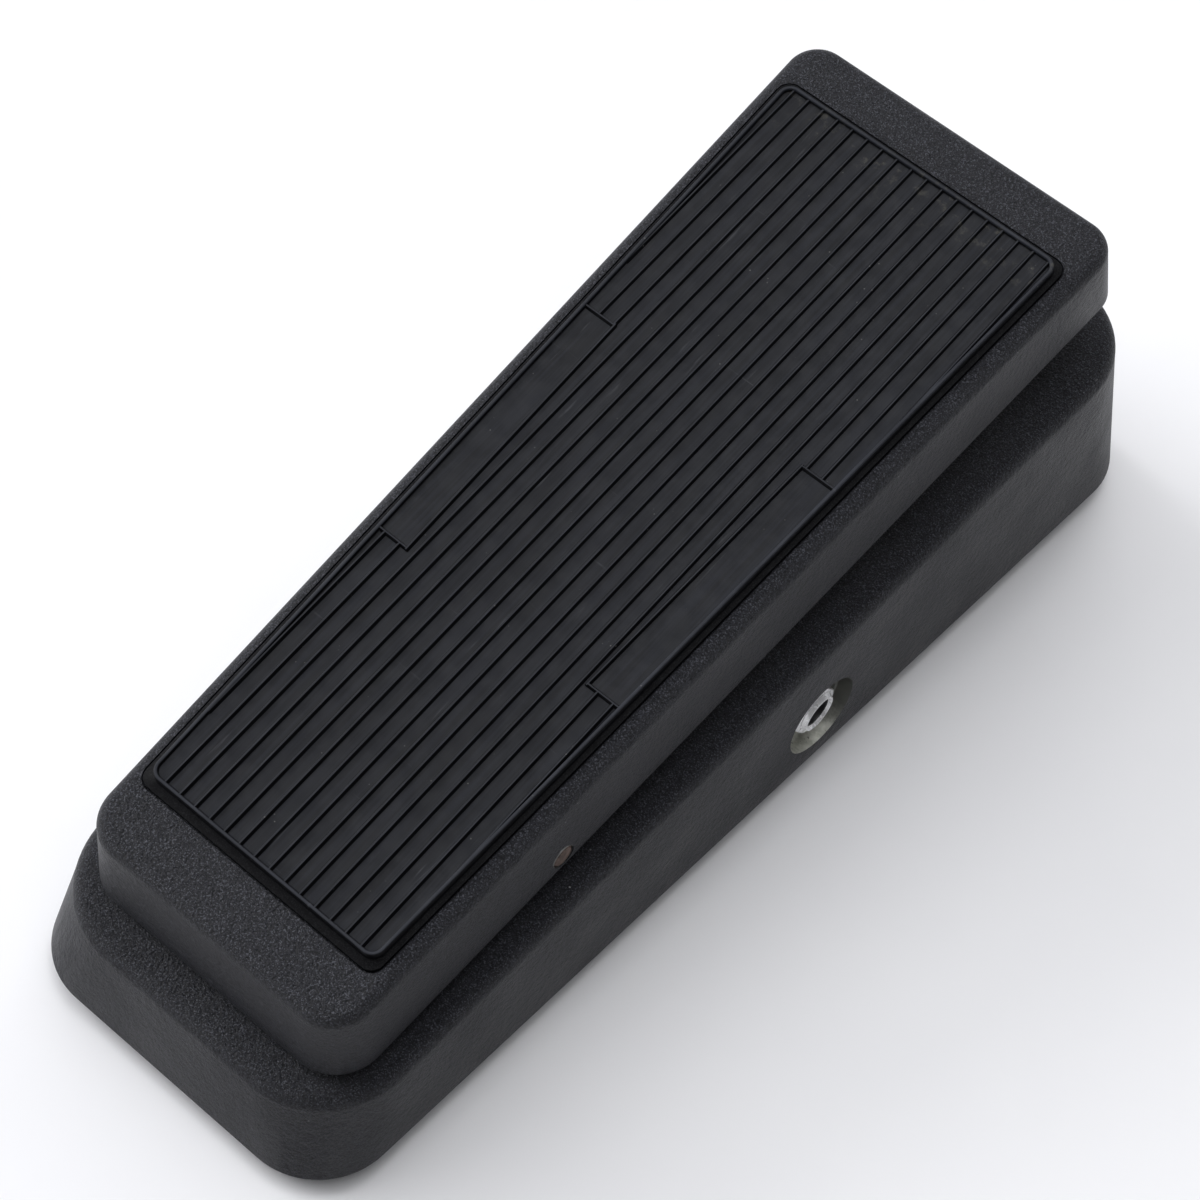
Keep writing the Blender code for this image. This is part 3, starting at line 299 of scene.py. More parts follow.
def powder_coat(name, marks=()):
    """Satin-black powder coat: sandy on tops, leathery on walls, with painted glints on tops.

    Marks are (point, stretch, radius) rubs down to the metal.
    """
    g = Graph(name)
    grain = g.noise(2500, 3.0, 0.7)
    pebble = g.cells(1500, "SMOOTH_F1")
    leather = g.noise(560, 2.0, 0.55)
    cloud = g.noise(45, 3.0, 0.6)
    colour = g.mix(g.span(grain, 0.38, 0.64), (0.0012, 0.0014, 0.0026), (0.0178, 0.0186, 0.0250))
    top = g.span(g.axis("Z", g.facing), 0.45, 0.90, 0.35, 1.0)
    # painted highlight: pale glints put only on faces that look up, where the light falls on them
    dust_and_glint_speck = g.math("MULTIPLY", top, g.span(g.noise(3300, 1.0), 0.54, 0.70))
    colour = g.mix(g.math("MULTIPLY", dust_and_glint_speck, 0.8), colour, (0.084, 0.087, 0.105))
    dust = g.span(g.cells(420), 0.10, 0.05)
    dust = g.math("MULTIPLY", dust, g.span(g.noise(130, 2.0), 0.60, 0.70))
    colour = g.mix(dust, colour, (0.16, 0.16, 0.165))
    for point, stretch, radius in marks:
        ragged = g.math("MULTIPLY", g.noise(1600, 3.0, 0.7), radius * 1.2)
        spot = g.span(g.math("ADD", g.distance(point, stretch), ragged), radius * 1.1, radius * 0.8)
        colour = g.mix(spot, colour, (0.30, 0.30, 0.31))
    height = g.math("ADD", g.math("MULTIPLY", grain, 0.9), g.math("MULTIPLY", pebble, 0.6))
    normal = g.bump(g.math("MULTIPLY", height, top), 0.00065, 0.9)
    leathery = g.math("MULTIPLY", leather, g.math("SUBTRACT", 1.35, top))
    normal = g.bump(leathery, 0.00060, 0.6, normal)
    roughness = g.span(cloud, 0.3, 0.7, 0.44, 0.54)
    return g.finish(colour, roughness, 0.0, normal, specular=0.30)


def mat_rubber():
    """Satin rubber: rib tops pale by wear and painted highlight over a darker field, painted shade on
    flanks and flange, scratches, specks and toe dirt.
    """
    g = Graph("mat_rubber")
    fine = g.noise(5200, 2.0, 0.6)
    blotch = g.noise(70, 4.0, 0.62)
    streak = g.noise(1.0, 3.0, 0.6, g.stretched((1500, 45, 1500), (0.0, 0.0, 0.03)))
    field = g.mix(g.span(streak, 0.34, 0.68), (0.0022, 0.0028, 0.0050), (0.0070, 0.0082, 0.0128))
    # tone of the rib and ridge tops: part wear, part painted highlight
    worn = g.mix(g.span(blotch, 0.35, 0.70), (0.0130, 0.0146, 0.0200), (0.0225, 0.0248, 0.0325))
    height = g.axis("Z")
    # painted shade: all above the flat field is darkened nearly to black, so rib and ridge flanks look
    # shadowed
    flank_shade = g.span(height, MAT_FIELD + 0.02 * MM, MAT_FIELD + 0.14 * MM)
    field = g.mix(g.math("MULTIPLY", flank_shade, 0.9), field, (0.0016, 0.0016, 0.0022))
    crest = g.math("ADD", height, g.math("MULTIPLY", g.axis("Y"), RIB_WEAR / MAT_LENGTH))
    colour = g.mix(g.span(crest, MAT_HIGH - 0.19 * MM, MAT_HIGH - 0.10 * MM), field, worn)
    along = g.stretched((900, 60, 900), (0.0, 0.0, 0.25))
    across = g.stretched((55, 700, 700), (0.0, 0.0, -0.5))
    hairs = g.span(g.noise(1.0, 2.0, 0.5, along), 0.68, 0.78)
    cross_hairs = g.span(g.noise(1.0, 2.0, 0.5, across), 0.70, 0.80)
    scratch = g.math("MULTIPLY", g.math("MAXIMUM", hairs, cross_hairs), g.span(blotch, 0.40, 0.60))
    colour = g.mix(g.math("MULTIPLY", scratch, 0.35), colour, (0.085, 0.088, 0.098))
    dust_and_glint_speck = g.math("MULTIPLY", g.span(g.cells(640), 0.13, 0.05), g.span(g.noise(190, 2.0), 0.60, 0.69))
    colour = g.mix(g.math("MULTIPLY", dust_and_glint_speck, 0.6), colour, (0.17, 0.17, 0.165))
    toe = g.span(g.axis("Y"), MAT_TOE_REACH - 0.016, MAT_TOE_REACH - 0.001)
    grime = g.math("MULTIPLY", toe, g.span(g.noise(420, 4.0, 0.7), 0.54, 0.74))
    colour = g.mix(g.math("MULTIPLY", grime, 0.6), colour, (0.070, 0.067, 0.056))
    # painted shade: the flange and pocket below the field go near black, with painted glints from the fine
    # noise
    sunk = g.span(height, MAT_FIELD - 0.10 * MM, MAT_FIELD - 0.35 * MM)
    sunk_shade_and_glint = g.mix(g.span(fine, 0.50, 0.66), (0.0022, 0.0022, 0.0030), (0.0150, 0.0155, 0.0170))
    colour = g.mix(sunk, colour, sunk_shade_and_glint)
    roughness = g.span(g.noise(240, 3.0, 0.6), 0.3, 0.7, 0.48, 0.60)
    normal = g.bump(fine, 0.00004, 0.7)
    normal = g.bump(streak, 0.00005, 0.5, normal)
    normal = g.bump(scratch, 0.00003, 0.5, normal)
    shine = g.span(height, MAT_FIELD - 0.35 * MM, MAT_FIELD - 0.10 * MM, 0.07, 0.20)
    return g.finish(colour, roughness, 0.0, normal, shine)


def plain_rubber(name, colour, dusty):
    """Moulded rubber with patches of dust."""
    g = Graph(name)
    patch = g.noise(160, 4.0, 0.6)
    light = tuple(channel * 1.9 for channel in colour)
    shade = g.mix(g.span(patch, 0.35, 0.7), colour, light)
    dust = g.span(g.noise(700, 3.0, 0.7), 0.60, 0.72)
    shade = g.mix(g.math("MULTIPLY", dust, dusty), shade, (0.16, 0.155, 0.145))
    normal = g.bump(g.noise(1800, 3.0), 0.00005, 0.6)
    return g.finish(shade, g.span(patch, 0.3, 0.7, 0.55, 0.75), 0.0, normal)


def bare_zinc():
    """Machined zinc in the jack recesses: tool rings, oxide, and darker towards the toe and the top."""
    g = Graph("bare_zinc")
    oxide = g.noise(420, 4.0, 0.65)
    colour = g.mix(g.span(oxide, 0.35, 0.68), (0.66, 0.66, 0.60), (0.42, 0.425, 0.375))
    pits = g.span(g.noise(1300, 2.0), 0.64, 0.72)
    colour = g.mix(pits, colour, (0.16, 0.16, 0.14))
    # darker towards the toe and the top of the recess
    toeward = g.math("MULTIPLY", g.math("SUBTRACT", g.axis("Y"), JACK_Y), 0.8)
    upward = g.math("MULTIPLY", g.math("SUBTRACT", g.axis("Z"), JACK_Z), 0.6)
    along = g.math("ADD", g.math("ADD", toeward, upward), g.math("MULTIPLY", oxide, 0.004))
    darker_to_toe_and_top = g.span(along, -0.0045, 0.0060)
    colour = g.mix(darker_to_toe_and_top, colour, (0.14, 0.142, 0.130))
    roughness = g.span(oxide, 0.3, 0.7, 0.40, 0.52)
    rings = g.noise(1.0, 2.0, 0.5, g.stretched((250, 2600, 2600)))
    return g.finish(colour, roughness, 0.7, g.bump(rings, 0.00004, 0.5))


def polished(name, colour, roughness, metallic=1.0):
    """Bright nickel plating with faint handling marks."""
    g = Graph(name)
    smear = g.noise(500, 3.0, 0.6)
    shade = g.mix(g.span(smear, 0.4, 0.75), colour, tuple(0.8 * channel for channel in colour))
    marks = g.stretched((700, 150, 700), (0.3, 0.2, 0.5))
    normal = g.bump(g.noise(1.0, 2.0, 0.5, marks), 0.00001, 0.4)
    return g.finish(shade, g.span(smear, 0.3, 0.75, roughness, roughness + 0.10), metallic, normal)


def plated_steel(name, colour):
    """Dull zinc plating: fine brushing and a spangle of paler patches."""
    g = Graph(name)
    brushed = g.noise(1.0, 3.0, 0.6, g.stretched((160, 2600, 2600)))
    patch = g.cells(230, output="Color")
    spangle = g.axis("X", patch)
    shade = g.mix(g.math("MULTIPLY", spangle, 0.5), colour, tuple(0.72 * channel for channel in colour))
    normal = g.bump(brushed, 0.00002, 0.5)
    return g.finish(shade, g.span(brushed, 0.3, 0.7, 0.30, 0.46), 1.0, normal)


def rusty_steel():
    """Pivot pin: steel gone brown, with brighter rubbed spots."""
    g = Graph("rusty_steel")
    rust = g.noise(900, 4.0, 0.7)
    colour = g.mix(g.span(rust, 0.35, 0.65), (0.055, 0.034, 0.026), (0.14, 0.092, 0.072))
    normal = g.bump(rust, 0.00010, 0.7)
    metallic = g.span(rust, 0.35, 0.6, 0.55, 0.15)
    return g.finish(colour, g.span(rust, 0.3, 0.7, 0.55, 0.75), metallic, normal)


def moulded_plastic(name, colour, roughness):
    """Moulded plastic with faint flow marks and a fine surface."""
    g = Graph(name)
    flow = g.noise(90, 3.0)
    shade = g.mix(g.span(flow, 0.3, 0.7), colour, tuple(min(1.0, 1.18 * channel) for channel in colour))
    normal = g.bump(g.noise(3500, 2.0), 0.00002, 0.5)
    return g.finish(shade, g.span(flow, 0.3, 0.7, roughness, roughness + 0.08), 0.0, normal)


def circuit_green():
    """Solder mask over copper: paler where traces run under it."""
    g = Graph("circuit_green")
    traces = g.cells(130, "DISTANCE_TO_EDGE")
    shade = g.mix(g.span(traces, 0.06, 0.09), (0.055, 0.24, 0.085), (0.020, 0.115, 0.045))
    normal = g.bump(g.span(traces, 0.06, 0.09), 0.00004, 0.4)
    return g.finish(shade, 0.32, 0.0, normal, coat=0.3)


def copper_winding():
    """Enamelled wire wound on a ferrite core."""
    g = Graph("copper_winding")
    turns = g.noise(1.0, 1.0, 0.4, g.stretched((60, 60, 3600)))
    # painted shade in the grooves between the turns, pale copper on their crests
    shade = g.mix(g.span(turns, 0.4, 0.6), (0.13, 0.050, 0.025), (0.42, 0.19, 0.085))
    return g.finish(shade, 0.34, 0.6, g.bump(turns, 0.00008, 0.8))


def open_foam():
    """Open-cell foam: pores in painted shade between paler walls."""
    g = Graph("open_foam")
    pores = g.cells(900)
    # painted shade: the pores, the hollows of the cells, are painted dark
    shade = g.mix(g.span(pores, 0.15, 0.55), (0.07, 0.07, 0.072), (0.22, 0.22, 0.225))
    return g.finish(shade, 0.92, 0.0, g.bump(pores, 0.0004, 0.9))


def floor_material():
    """White paper sweep with a faint mottle."""
    g = Graph("white_paper")
    mottle = g.noise(9, 4.0, 0.6)
    shade = g.mix(g.span(mottle, 0.3, 0.7), (0.862, 0.862, 0.880), (0.885, 0.885, 0.900))
    return g.finish(shade, 0.7, 0.0, g.bump(g.noise(900, 3.0), 0.00005, 0.15), specular=0.2)


# ---- solids ----------------------------------------------------------------------------
def loft(rings, closed=False):
    """A skin through rings of equal length, capped at both ends unless it is closed."""
    bm = bmesh.new()
    loops = [[bm.verts.new(point) for point in ring] for ring in rings]
    pairs = list(zip(loops, loops[1:]))
    if closed:
        pairs.append((loops[-1], loops[0]))
    for lower, upper in pairs:
        for i in range(len(lower)):
            j = (i + 1) % len(lower)
            bm.faces.new((lower[i], lower[j], upper[j], upper[i]))
    if not closed:
        bm.faces.new(list(reversed(loops[0])))
        bm.faces.new(loops[-1])
    return bm


def prism(plan, low, high):
    return loft([[(x, y, z) for x, y in plan] for z in (low, high)])


def block(low, high):
    plan = [(low[0], low[1]), (high[0], low[1]), (high[0], high[1]), (low[0], high[1])]
    return prism(plan, low[2], high[2])


def turned(profile, sides=48, bored=True):
    """A solid turned around Z from (radius, height) points, closed on itself if bored."""
    angles = [2 * math.pi * (i + 0.5) / sides for i in range(sides)]
    rings = []
    for radius, height in profile:
        rings.append([(radius * math.cos(a), radius * math.sin(a), height) for a in angles])
    return loft(rings, closed=bored)


def rod(radius, low, high, sides=48):
    return turned([(radius, low), (radius, high)], sides, bored=False)


def arc(centre, radius, start, end, steps):
    """Points of an arc in a (radius, height) profile, angles in degrees."""
    points = []
    for k in range(steps + 1):
        angle = math.radians(start + (end - start) * k / steps)
        points.append((centre[0] + radius * math.cos(angle), centre[1] + radius * math.sin(angle)))
    return points


def quarter_turn(steps):
    """Angles from 0 to 90 degrees, in radians."""
    return [math.radians(90 * k / steps) for k in range(steps + 1)]


def inset(shape, distance):
    """Shrink a tapered outline (heel y, toe y, half widths, corner radii) all round."""
    heel, toe, half_heel, half_toe, corner_heel, corner_toe = shape
    taper = (half_toe - half_heel) / (toe - heel)
    side = distance * math.sqrt(1 + taper * taper)
    smallest = 0.0006
    return (heel + distance, toe - distance, half_heel + taper * distance - side,
            half_toe - taper * distance - side, max(corner_heel - distance, smallest),
            max(corner_toe - distance, smallest))


def outline(shape, steps=CORNER_STEPS):
    """Points of a tapered outline with rounded corners, anticlockwise from above."""
    heel, toe, half_heel, half_toe, corner_heel, corner_toe = shape
    corners = [(-half_heel, heel, corner_heel), (half_heel, heel, corner_heel),
               (half_toe, toe, corner_toe), (-half_toe, toe, corner_toe)]
    points = []
    for i, (x, y, radius) in enumerate(corners):
        here = Vector((x, y))
        before = (Vector(corners[i - 1][:2]) - here).normalized()
        after = (Vector(corners[(i + 1) % 4][:2]) - here).normalized()
        half_angle = before.angle(after) / 2
        centre = here + (before + after).normalized() * radius / math.sin(half_angle)
        start = here + before * radius / math.tan(half_angle) - centre
        turn = math.pi - 2 * half_angle
        reach = radius / math.tan(half_angle) + CORNER_RUN_OUT
        points.append(tuple(here + before * reach))
        for k in range(steps + 1):
            cos, sin = math.cos(turn * k / steps), math.sin(turn * k / steps)
            points.append((centre.x + start.x * cos - start.y * sin,
                           centre.y + start.x * sin + start.y * cos))
        points.append(tuple(here + after * reach))
    return points


def at(x, y, z):
    return Matrix.Translation((x, y, z))


def along_x(x, y, z, towards=1):
    """Placement that lays a Z-built piece along +X or -X."""
    return at(x, y, z) @ Matrix.Rotation(towards * math.pi / 2, 4, "Y")


def merged(parts):
    """One bmesh from several."""
    whole = bmesh.new()
    for part in parts:
        mesh = bpy.data.meshes.new("part")
        part.to_mesh(mesh)
        part.free()
        whole.from_mesh(mesh)
        bpy.data.meshes.remove(mesh)
    return whole


def moved(bm, place):
    bm.transform(place)
    return bm


def piece(name, bm, material, body, replaced=(), place=Matrix.Identity(4)):
    """A named object from a bmesh, riding on a body and standing for CAD nodes."""
    bmesh.ops.recalc_face_normals(bm, faces=bm.faces)
    mesh = bpy.data.meshes.new(name)
    bm.to_mesh(mesh)
    bm.free()
    obj = bpy.data.objects.new(name, mesh)
    bpy.context.collection.objects.link(obj)
    obj.matrix_world = place
    mesh.materials.append(material)
    shade(mesh)
    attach(obj, body)
    if replaced:
        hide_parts(*replaced)
    return obj


def shade(mesh, sharp=SHARP_ANGLE):
    """Smooth shading that breaks at edges sharper than an angle in degrees."""
    mesh.shade_smooth()
    mesh.set_sharp_from_angle(angle=math.radians(sharp))


def combine(obj, tool_bm, operation):
    """Join or cut obj with a tool given in obj's own coordinates."""
    bmesh.ops.recalc_face_normals(tool_bm, faces=tool_bm.faces)
    tool_mesh = bpy.data.meshes.new("tool")
    tool_bm.to_mesh(tool_mesh)
    tool_bm.free()
    tool = bpy.data.objects.new("tool", tool_mesh)
    bpy.context.collection.objects.link(tool)
    bpy.context.view_layer.update()
    tool.matrix_world = obj.matrix_world.copy()
    bpy.context.view_layer.update()
    modifier = obj.modifiers.new("join_or_cut", "BOOLEAN")
    modifier.operation = operation
    modifier.object = tool
    modifier.solver = "EXACT"
    modifier.use_self = True
    graph = bpy.context.evaluated_depsgraph_get()
    result = bpy.data.meshes.new_from_object(obj.evaluated_get(graph))
    obj.modifiers.clear()
    obj.data = result
    bpy.data.objects.remove(tool)
    shade(result)


# ---- base ------------------------------------------------------------------------------
def base_lower_edge():
    """Outline of the wall's foot."""
    return (-LENGTH / 2, LENGTH / 2, BASE_HALF_HEEL, BASE_HALF_TOE, BASE_CORNER, BASE_CORNER)


def base_rim():
    """Outline of the wall's top, where its rounding starts."""
    return (RIM_HEEL_Y, RIM_TOE_Y, BASE_HALF_HEEL - RIM_INSET_SIDE, BASE_HALF_TOE - RIM_INSET_SIDE,
            RIM_CORNER_HEEL, RIM_CORNER_TOE)


def rim_z(y):
    return FOOT_HEIGHT + RIM_HEEL_RISE + BASE_SLOPE * (y - RIM_HEEL_Y)


def top_z(y):
    return rim_z(y) + RIM_ROUND


def ceiling_z(y):
    return top_z(y) - TOP_THICKNESS / math.cos(BASE_TILT)


def switch_frame():
    """Frame on the sloping top, its Z along the switch's axis."""
    return at(0, SWITCH_Y, top_z(SWITCH_Y)) @ Matrix.Rotation(BASE_TILT, 4, "X")


def base_rings():
    """Inside, rounded lower edge, drafted wall, rounded rim, sloping top."""
    wall = base_lower_edge()
    rings = [[(x, y, ceiling_z(y)) for x, y in outline(inset(base_rim(), WALL))],
             [(x, y, FOOT_HEIGHT) for x, y in outline(inset(wall, WALL))]]
    for angle in quarter_turn(3):
        back = LOWER_EDGE_ROUND * (1 - math.sin(angle))
        height = FOOT_HEIGHT + LOWER_EDGE_ROUND * (1 - math.cos(angle))
        rings.append([(x, y, height) for x, y in outline(inset(wall, back))])
    for angle in quarter_turn(ROUND_STEPS):
        ring = outline(inset(base_rim(), RIM_ROUND * (1 - math.cos(angle))))
        rings.append([(x, y, rim_z(y) + RIM_ROUND * math.sin(angle)) for x, y in ring])
    rings.append([(x, y, top_z(y)) for x, y in outline(inset(base_rim(), 2 * RIM_ROUND))])
    return rings


def pivot_ear(side):
    """A lug with a round head and flared root that stands on the top."""
    foot = top_z(PIVOT_Y) - 0.0015 - PIVOT_Z
    spread = EAR_RADIUS * 1.25
    chamfer = 0.0004
    plan = [(-spread, foot)] + arc((0, 0), EAR_RADIUS, 180, 0, 24) + [(spread, foot)]
    rings = []
    for x, shrink in ((EAR_INNER, chamfer), (EAR_INNER + chamfer, 0.0), (EAR_OUTER - chamfer, 0.0),
                      (EAR_OUTER, chamfer)):
        scale = 1 - shrink / EAR_RADIUS
        rings.append([(side * x, PIVOT_Y + y * scale, PIVOT_Z + (z * scale if z > 0 else z))
                      for y, z in plan])
    return loft(rings)


def jack_place(side):
    return along_x(0, JACK_Y, JACK_Z, side)


def in_recess(point):
    """True for points of the bare machined faces of the two jack recesses."""
    radius = math.hypot(point.y - JACK_Y, point.z - JACK_Z)
    return radius < JACK_RECESS_RADIUS + 0.02 * MM and abs(point.x) > JACK_FACE - 0.02 * MM


def base_housing(coat, zinc):
    """Wedge casting with its bosses, pivot ears, jack recesses, rack slot and switch hole."""
    base = piece("base_casting", loft(base_rings()), coat, "base", ["base_housing"])
    bosses = [moved(rod(FOOT_BOSS_RADIUS, FOOT_HEIGHT + 0.0018, ceiling_z(y) + 0.001, 24), at(x, y, 0))
              for x, y in FOOT_PLACES.values()]
    combine(base, merged(bosses), "UNION")
    combine(base, merged([pivot_ear(-1), pivot_ear(1)]), "UNION")
    pad_radius = JACK_RECESS_RADIUS + 0.0004
    pads = [moved(rod(pad_radius, JACK_FACE - WALL, JACK_FACE + 0.0016), jack_place(side))
            for side in (-1, 1)]
    combine(base, merged(pads), "UNION")
    cuts = []
    for side in (-1, 1):
        cuts.append(moved(rod(BUSH_RADIUS + GAP, EAR_INNER - 0.001, EAR_OUTER + 0.001),
                          along_x(0, PIVOT_Y, PIVOT_Z, side)))
        hole, fillet = JACK_THREAD_RADIUS + GAP, 0.0006
        recess = [(hole, JACK_FACE - 0.004), (hole, JACK_FACE)]
        recess += arc((JACK_RECESS_RADIUS - fillet, JACK_FACE + fillet), fillet, -90, 0, 4)
        recess += [(JACK_RECESS_RADIUS, JACK_FACE + 0.006)]
        cuts.append(moved(turned(recess, 96, bored=False), jack_place(side)))
    rack_low, rack_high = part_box("rack")
    slot_low = (rack_low.x - 0.001, rack_low.y - 0.001, ceiling_z(rack_low.y) - 0.003)
    slot_high = (rack_high.x + 0.001, rack_high.y + 0.003, top_z(rack_high.y) + 0.003)
    cuts.append(block(slot_low, slot_high))
    cuts.append(moved(rod(SWITCH_HOLE_RADIUS, -0.006, 0.004), switch_frame()))
    combine(base, merged(cuts), "DIFFERENCE")
    base.data.materials.append(zinc)
    for face in base.data.polygons:
        if all(in_recess(base.data.vertices[index].co) for index in face.vertices):
            face.material_index = 1
    return base


# ---- treadle ---------------------------------------------------------------------------
def treadle_top_edge():
    return (-HEEL_REACH, TOE_REACH, TREADLE_HALF_HEEL, TREADLE_HALF_TOE,
            TREADLE_CORNER_HEEL, TREADLE_CORNER_TOE)


def treadle_lower_edge():
    return (-HEEL_REACH - HEEL_FLARE, TOE_REACH + TOE_FLARE, SKIRT_HALF_HEEL, SKIRT_HALF_TOE,
            SKIRT_CORNER_HEEL, SKIRT_CORNER_TOE)


def mat_edge():
    """Outer face of the mat's ridge."""
    return (-MAT_HEEL_REACH, MAT_TOE_REACH, MAT_HALF_HEEL, MAT_HALF_TOE, MAT_CORNER, MAT_CORNER)


def mat_flange(margin=0.0):
    """Edge of the thin flange around the ridge, or of a pocket that clears it."""
    side = MAT_FLANGE + margin
    corner = MAT_CORNER + margin
    return (-MAT_HEEL_REACH - MAT_HEEL_FLANGE - margin, MAT_TOE_REACH + side, MAT_HALF_HEEL + side,
            MAT_HALF_TOE + side, corner, corner)


def treadle_rings():
    """Inside, rounded lower edge, flared skirt, rounded arris, flat top."""
    lower, upper = treadle_lower_edge(), treadle_top_edge()
    levels = [(inset(upper, TREADLE_WALL), TREADLE_CEILING), (inset(lower, TREADLE_WALL), SKIRT_LOW)]
    for angle in quarter_turn(2):
        edge = inset(lower, LOWER_EDGE_ROUND * (1 - math.sin(angle)))
        levels.append((edge, SKIRT_LOW + LOWER_EDGE_ROUND * (1 - math.cos(angle))))
    for angle in quarter_turn(ROUND_STEPS):
        edge = inset(upper, ARRIS_ROUND * (1 - math.cos(angle)))
        levels.append((edge, ARRIS_RISE + ARRIS_ROUND * math.sin(angle)))
    levels.append((inset(upper, ARRIS_ROUND + 0.3 * MM), TREADLE_TOP))
    return [[(x + TREADLE_SHIFT, v, height) for x, v in outline(edge)] for edge, height in levels]


def treadle(coat):
    """Inverted tray with bosses and stiffeners inside, the pin's bore and the mat's pocket."""
    body = piece("treadle_casting", loft(treadle_rings()), coat, "treadle", ["treadle"],
                 TREADLE_FRAME)
    bosses = [moved(rod(0.0040, 0.0317, 0.0345, 32), along_x(0, 0, 0.0005, side)) for side in (-1, 1)]
    toe_boss_v = (SWITCH_Y - PIVOT_Y) / math.cos(TREADLE_PITCH) + 0.0015
    for v, radius, drop in ((toe_boss_v, 0.0080, 0.0030), (-0.0400, 0.0060, 0.0105)):
        bosses.append(moved(rod(radius, TREADLE_CEILING - drop, TREADLE_CEILING + 0.001), at(0, v, 0)))
    for v in (0.0250, 0.0620, 0.1230):
        bosses.append(block((-0.0305, v - 0.001, TREADLE_CEILING - 0.003),
                            (0.0305, v + 0.001, TREADLE_CEILING + 0.001)))
    combine(body, merged(bosses), "UNION")
    bore = moved(rod(PIVOT_SHAFT_RADIUS + GAP, -0.05, 0.05), along_x(0, 0, 0))
    pocket = prism(outline(mat_flange(POCKET_MARGIN)), TREADLE_TOP - MAT_POCKET, TREADLE_TOP + 0.004)
    combine(body, merged([bore, moved(pocket, at(MAT_SHIFT, 0, 0))]), "DIFFERENCE")
    return body


def mat_half_width(v):
    """Half width of the mat's ridge at a distance from the pivot axis."""
    return MAT_HALF_HEEL + MAT_TAPER * (v + MAT_HEEL_REACH)


def rib_spans(x):
    """Stretches of one rib. Its ends run into the outer ridge or a side panel's frame."""
    half = RIB_WIDTH / 2
    sunk = MAT_RIDGE / 2
    toe = MAT_TOE_REACH - sunk
    widest = (abs(x - MAT_SHIFT) + half + GAP - MAT_HALF_HEEL) / MAT_TAPER
    start = max(sunk, widest) - MAT_HEEL_REACH
    panel_heel, panel_toe, inner, _ = PANELS[1 if x > 0 else -1]
    if abs(x) + half < inner:
        return [(start, toe)]
    spans = [(start, panel_heel), (max(panel_toe, start), toe)]
    return [span for span in spans if span[1] - span[0] > MAT_RIDGE]


def rib_bar(start, end):
    """A rib between two plan points: sloping flanks, a narrow rounded top, more wear to the toe."""
    first, last = Vector(start), Vector(end)
    across = Vector((first.y - last.y, last.x - first.x)).normalized()
    rings = []
    for point in (first, last):
        worn = RIB_WEAR * (point.y + MAT_HEEL_REACH) / MAT_LENGTH
        top = MAT_HIGH - 0.05 * MM - worn
        section = [(-0.52 * MM, MAT_FIELD - 0.15 * MM), (-0.50 * MM, MAT_FIELD + 0.02 * MM),
                   (-0.20 * MM, top - 0.12 * MM), (-0.13 * MM, top - 0.02 * MM), (0.0, top)]
        section += [(-offset, height) for offset, height in reversed(section[:-1])]
        rings.append([(point.x - across.x * o, point.y - across.y * o, h) for o, h in section])
    return loft(rings)


def mat_ribs():
    """All the long ribs, evenly spaced across the mat."""
    bars = []
    for index in range(RIB_COUNT):
        x = (index - (RIB_COUNT - 1) / 2) * RIB_PITCH + RIB_SHIFT
        bars += [rib_bar((x, start), (x, end)) for start, end in rib_spans(x)]
    return bars


def panel_frames():
    """Frames of the two blank panels: a rib along the inner side and a bar at each end."""
    bars = []
    for side in (-1, 1):
        heel, toe, near_heel, near_toe = PANELS[side]
        half = RIB_WIDTH / 2
        bars.append(rib_bar((side * near_heel, heel - half), (side * near_toe, toe + half)))
        for v, near in ((heel, near_heel), (toe, near_toe)):
            outer = side * (mat_half_width(v) - MAT_RIDGE / 2)
            bars.append(rib_bar((side * near, v), (outer, v)))
    return bars


def treadle_mat(rubber):
    """Thin flange in the pocket, rounded outer ridge, flat field with thin ribs."""
    flange, edge = mat_flange(), mat_edge()
    ledge = TREADLE_TOP + MAT_LEDGE
    levels = [(flange, MAT_LOW), (flange, ledge - 0.15 * MM), (inset(flange, 0.04 * MM), ledge - 0.05 * MM),
              (inset(flange, 0.12 * MM), ledge), (inset(edge, -0.14 * MM), ledge + 0.02 * MM)]
    ridge = [(-0.04, ledge + 0.10 * MM), (0.02, MAT_HIGH - 0.34 * MM), (0.08, MAT_HIGH - 0.16 * MM),
             (0.19, MAT_HIGH - 0.04 * MM), (0.32, MAT_HIGH), (0.58, MAT_HIGH), (0.71, MAT_HIGH - 0.04 * MM),
             (0.82, MAT_HIGH - 0.16 * MM), (0.88, MAT_HIGH - 0.34 * MM), (0.98, MAT_FIELD + 0.10 * MM),
             (1.16, MAT_FIELD), (2.80, MAT_FIELD)]
    levels += [(inset(edge, back * MM), height) for back, height in ridge]
    rings = [[(x + MAT_SHIFT, v, height) for x, v in outline(shape)] for shape, height in levels]
    mat = piece("treadle_tread", loft(rings), rubber, "treadle", ["treadle_mat"],
                TREADLE_FRAME)
    combine(mat, merged(mat_ribs()), "UNION")
    combine(mat, merged(panel_frames()), "UNION")
    shade(mat.data, 40.0)
    return mat


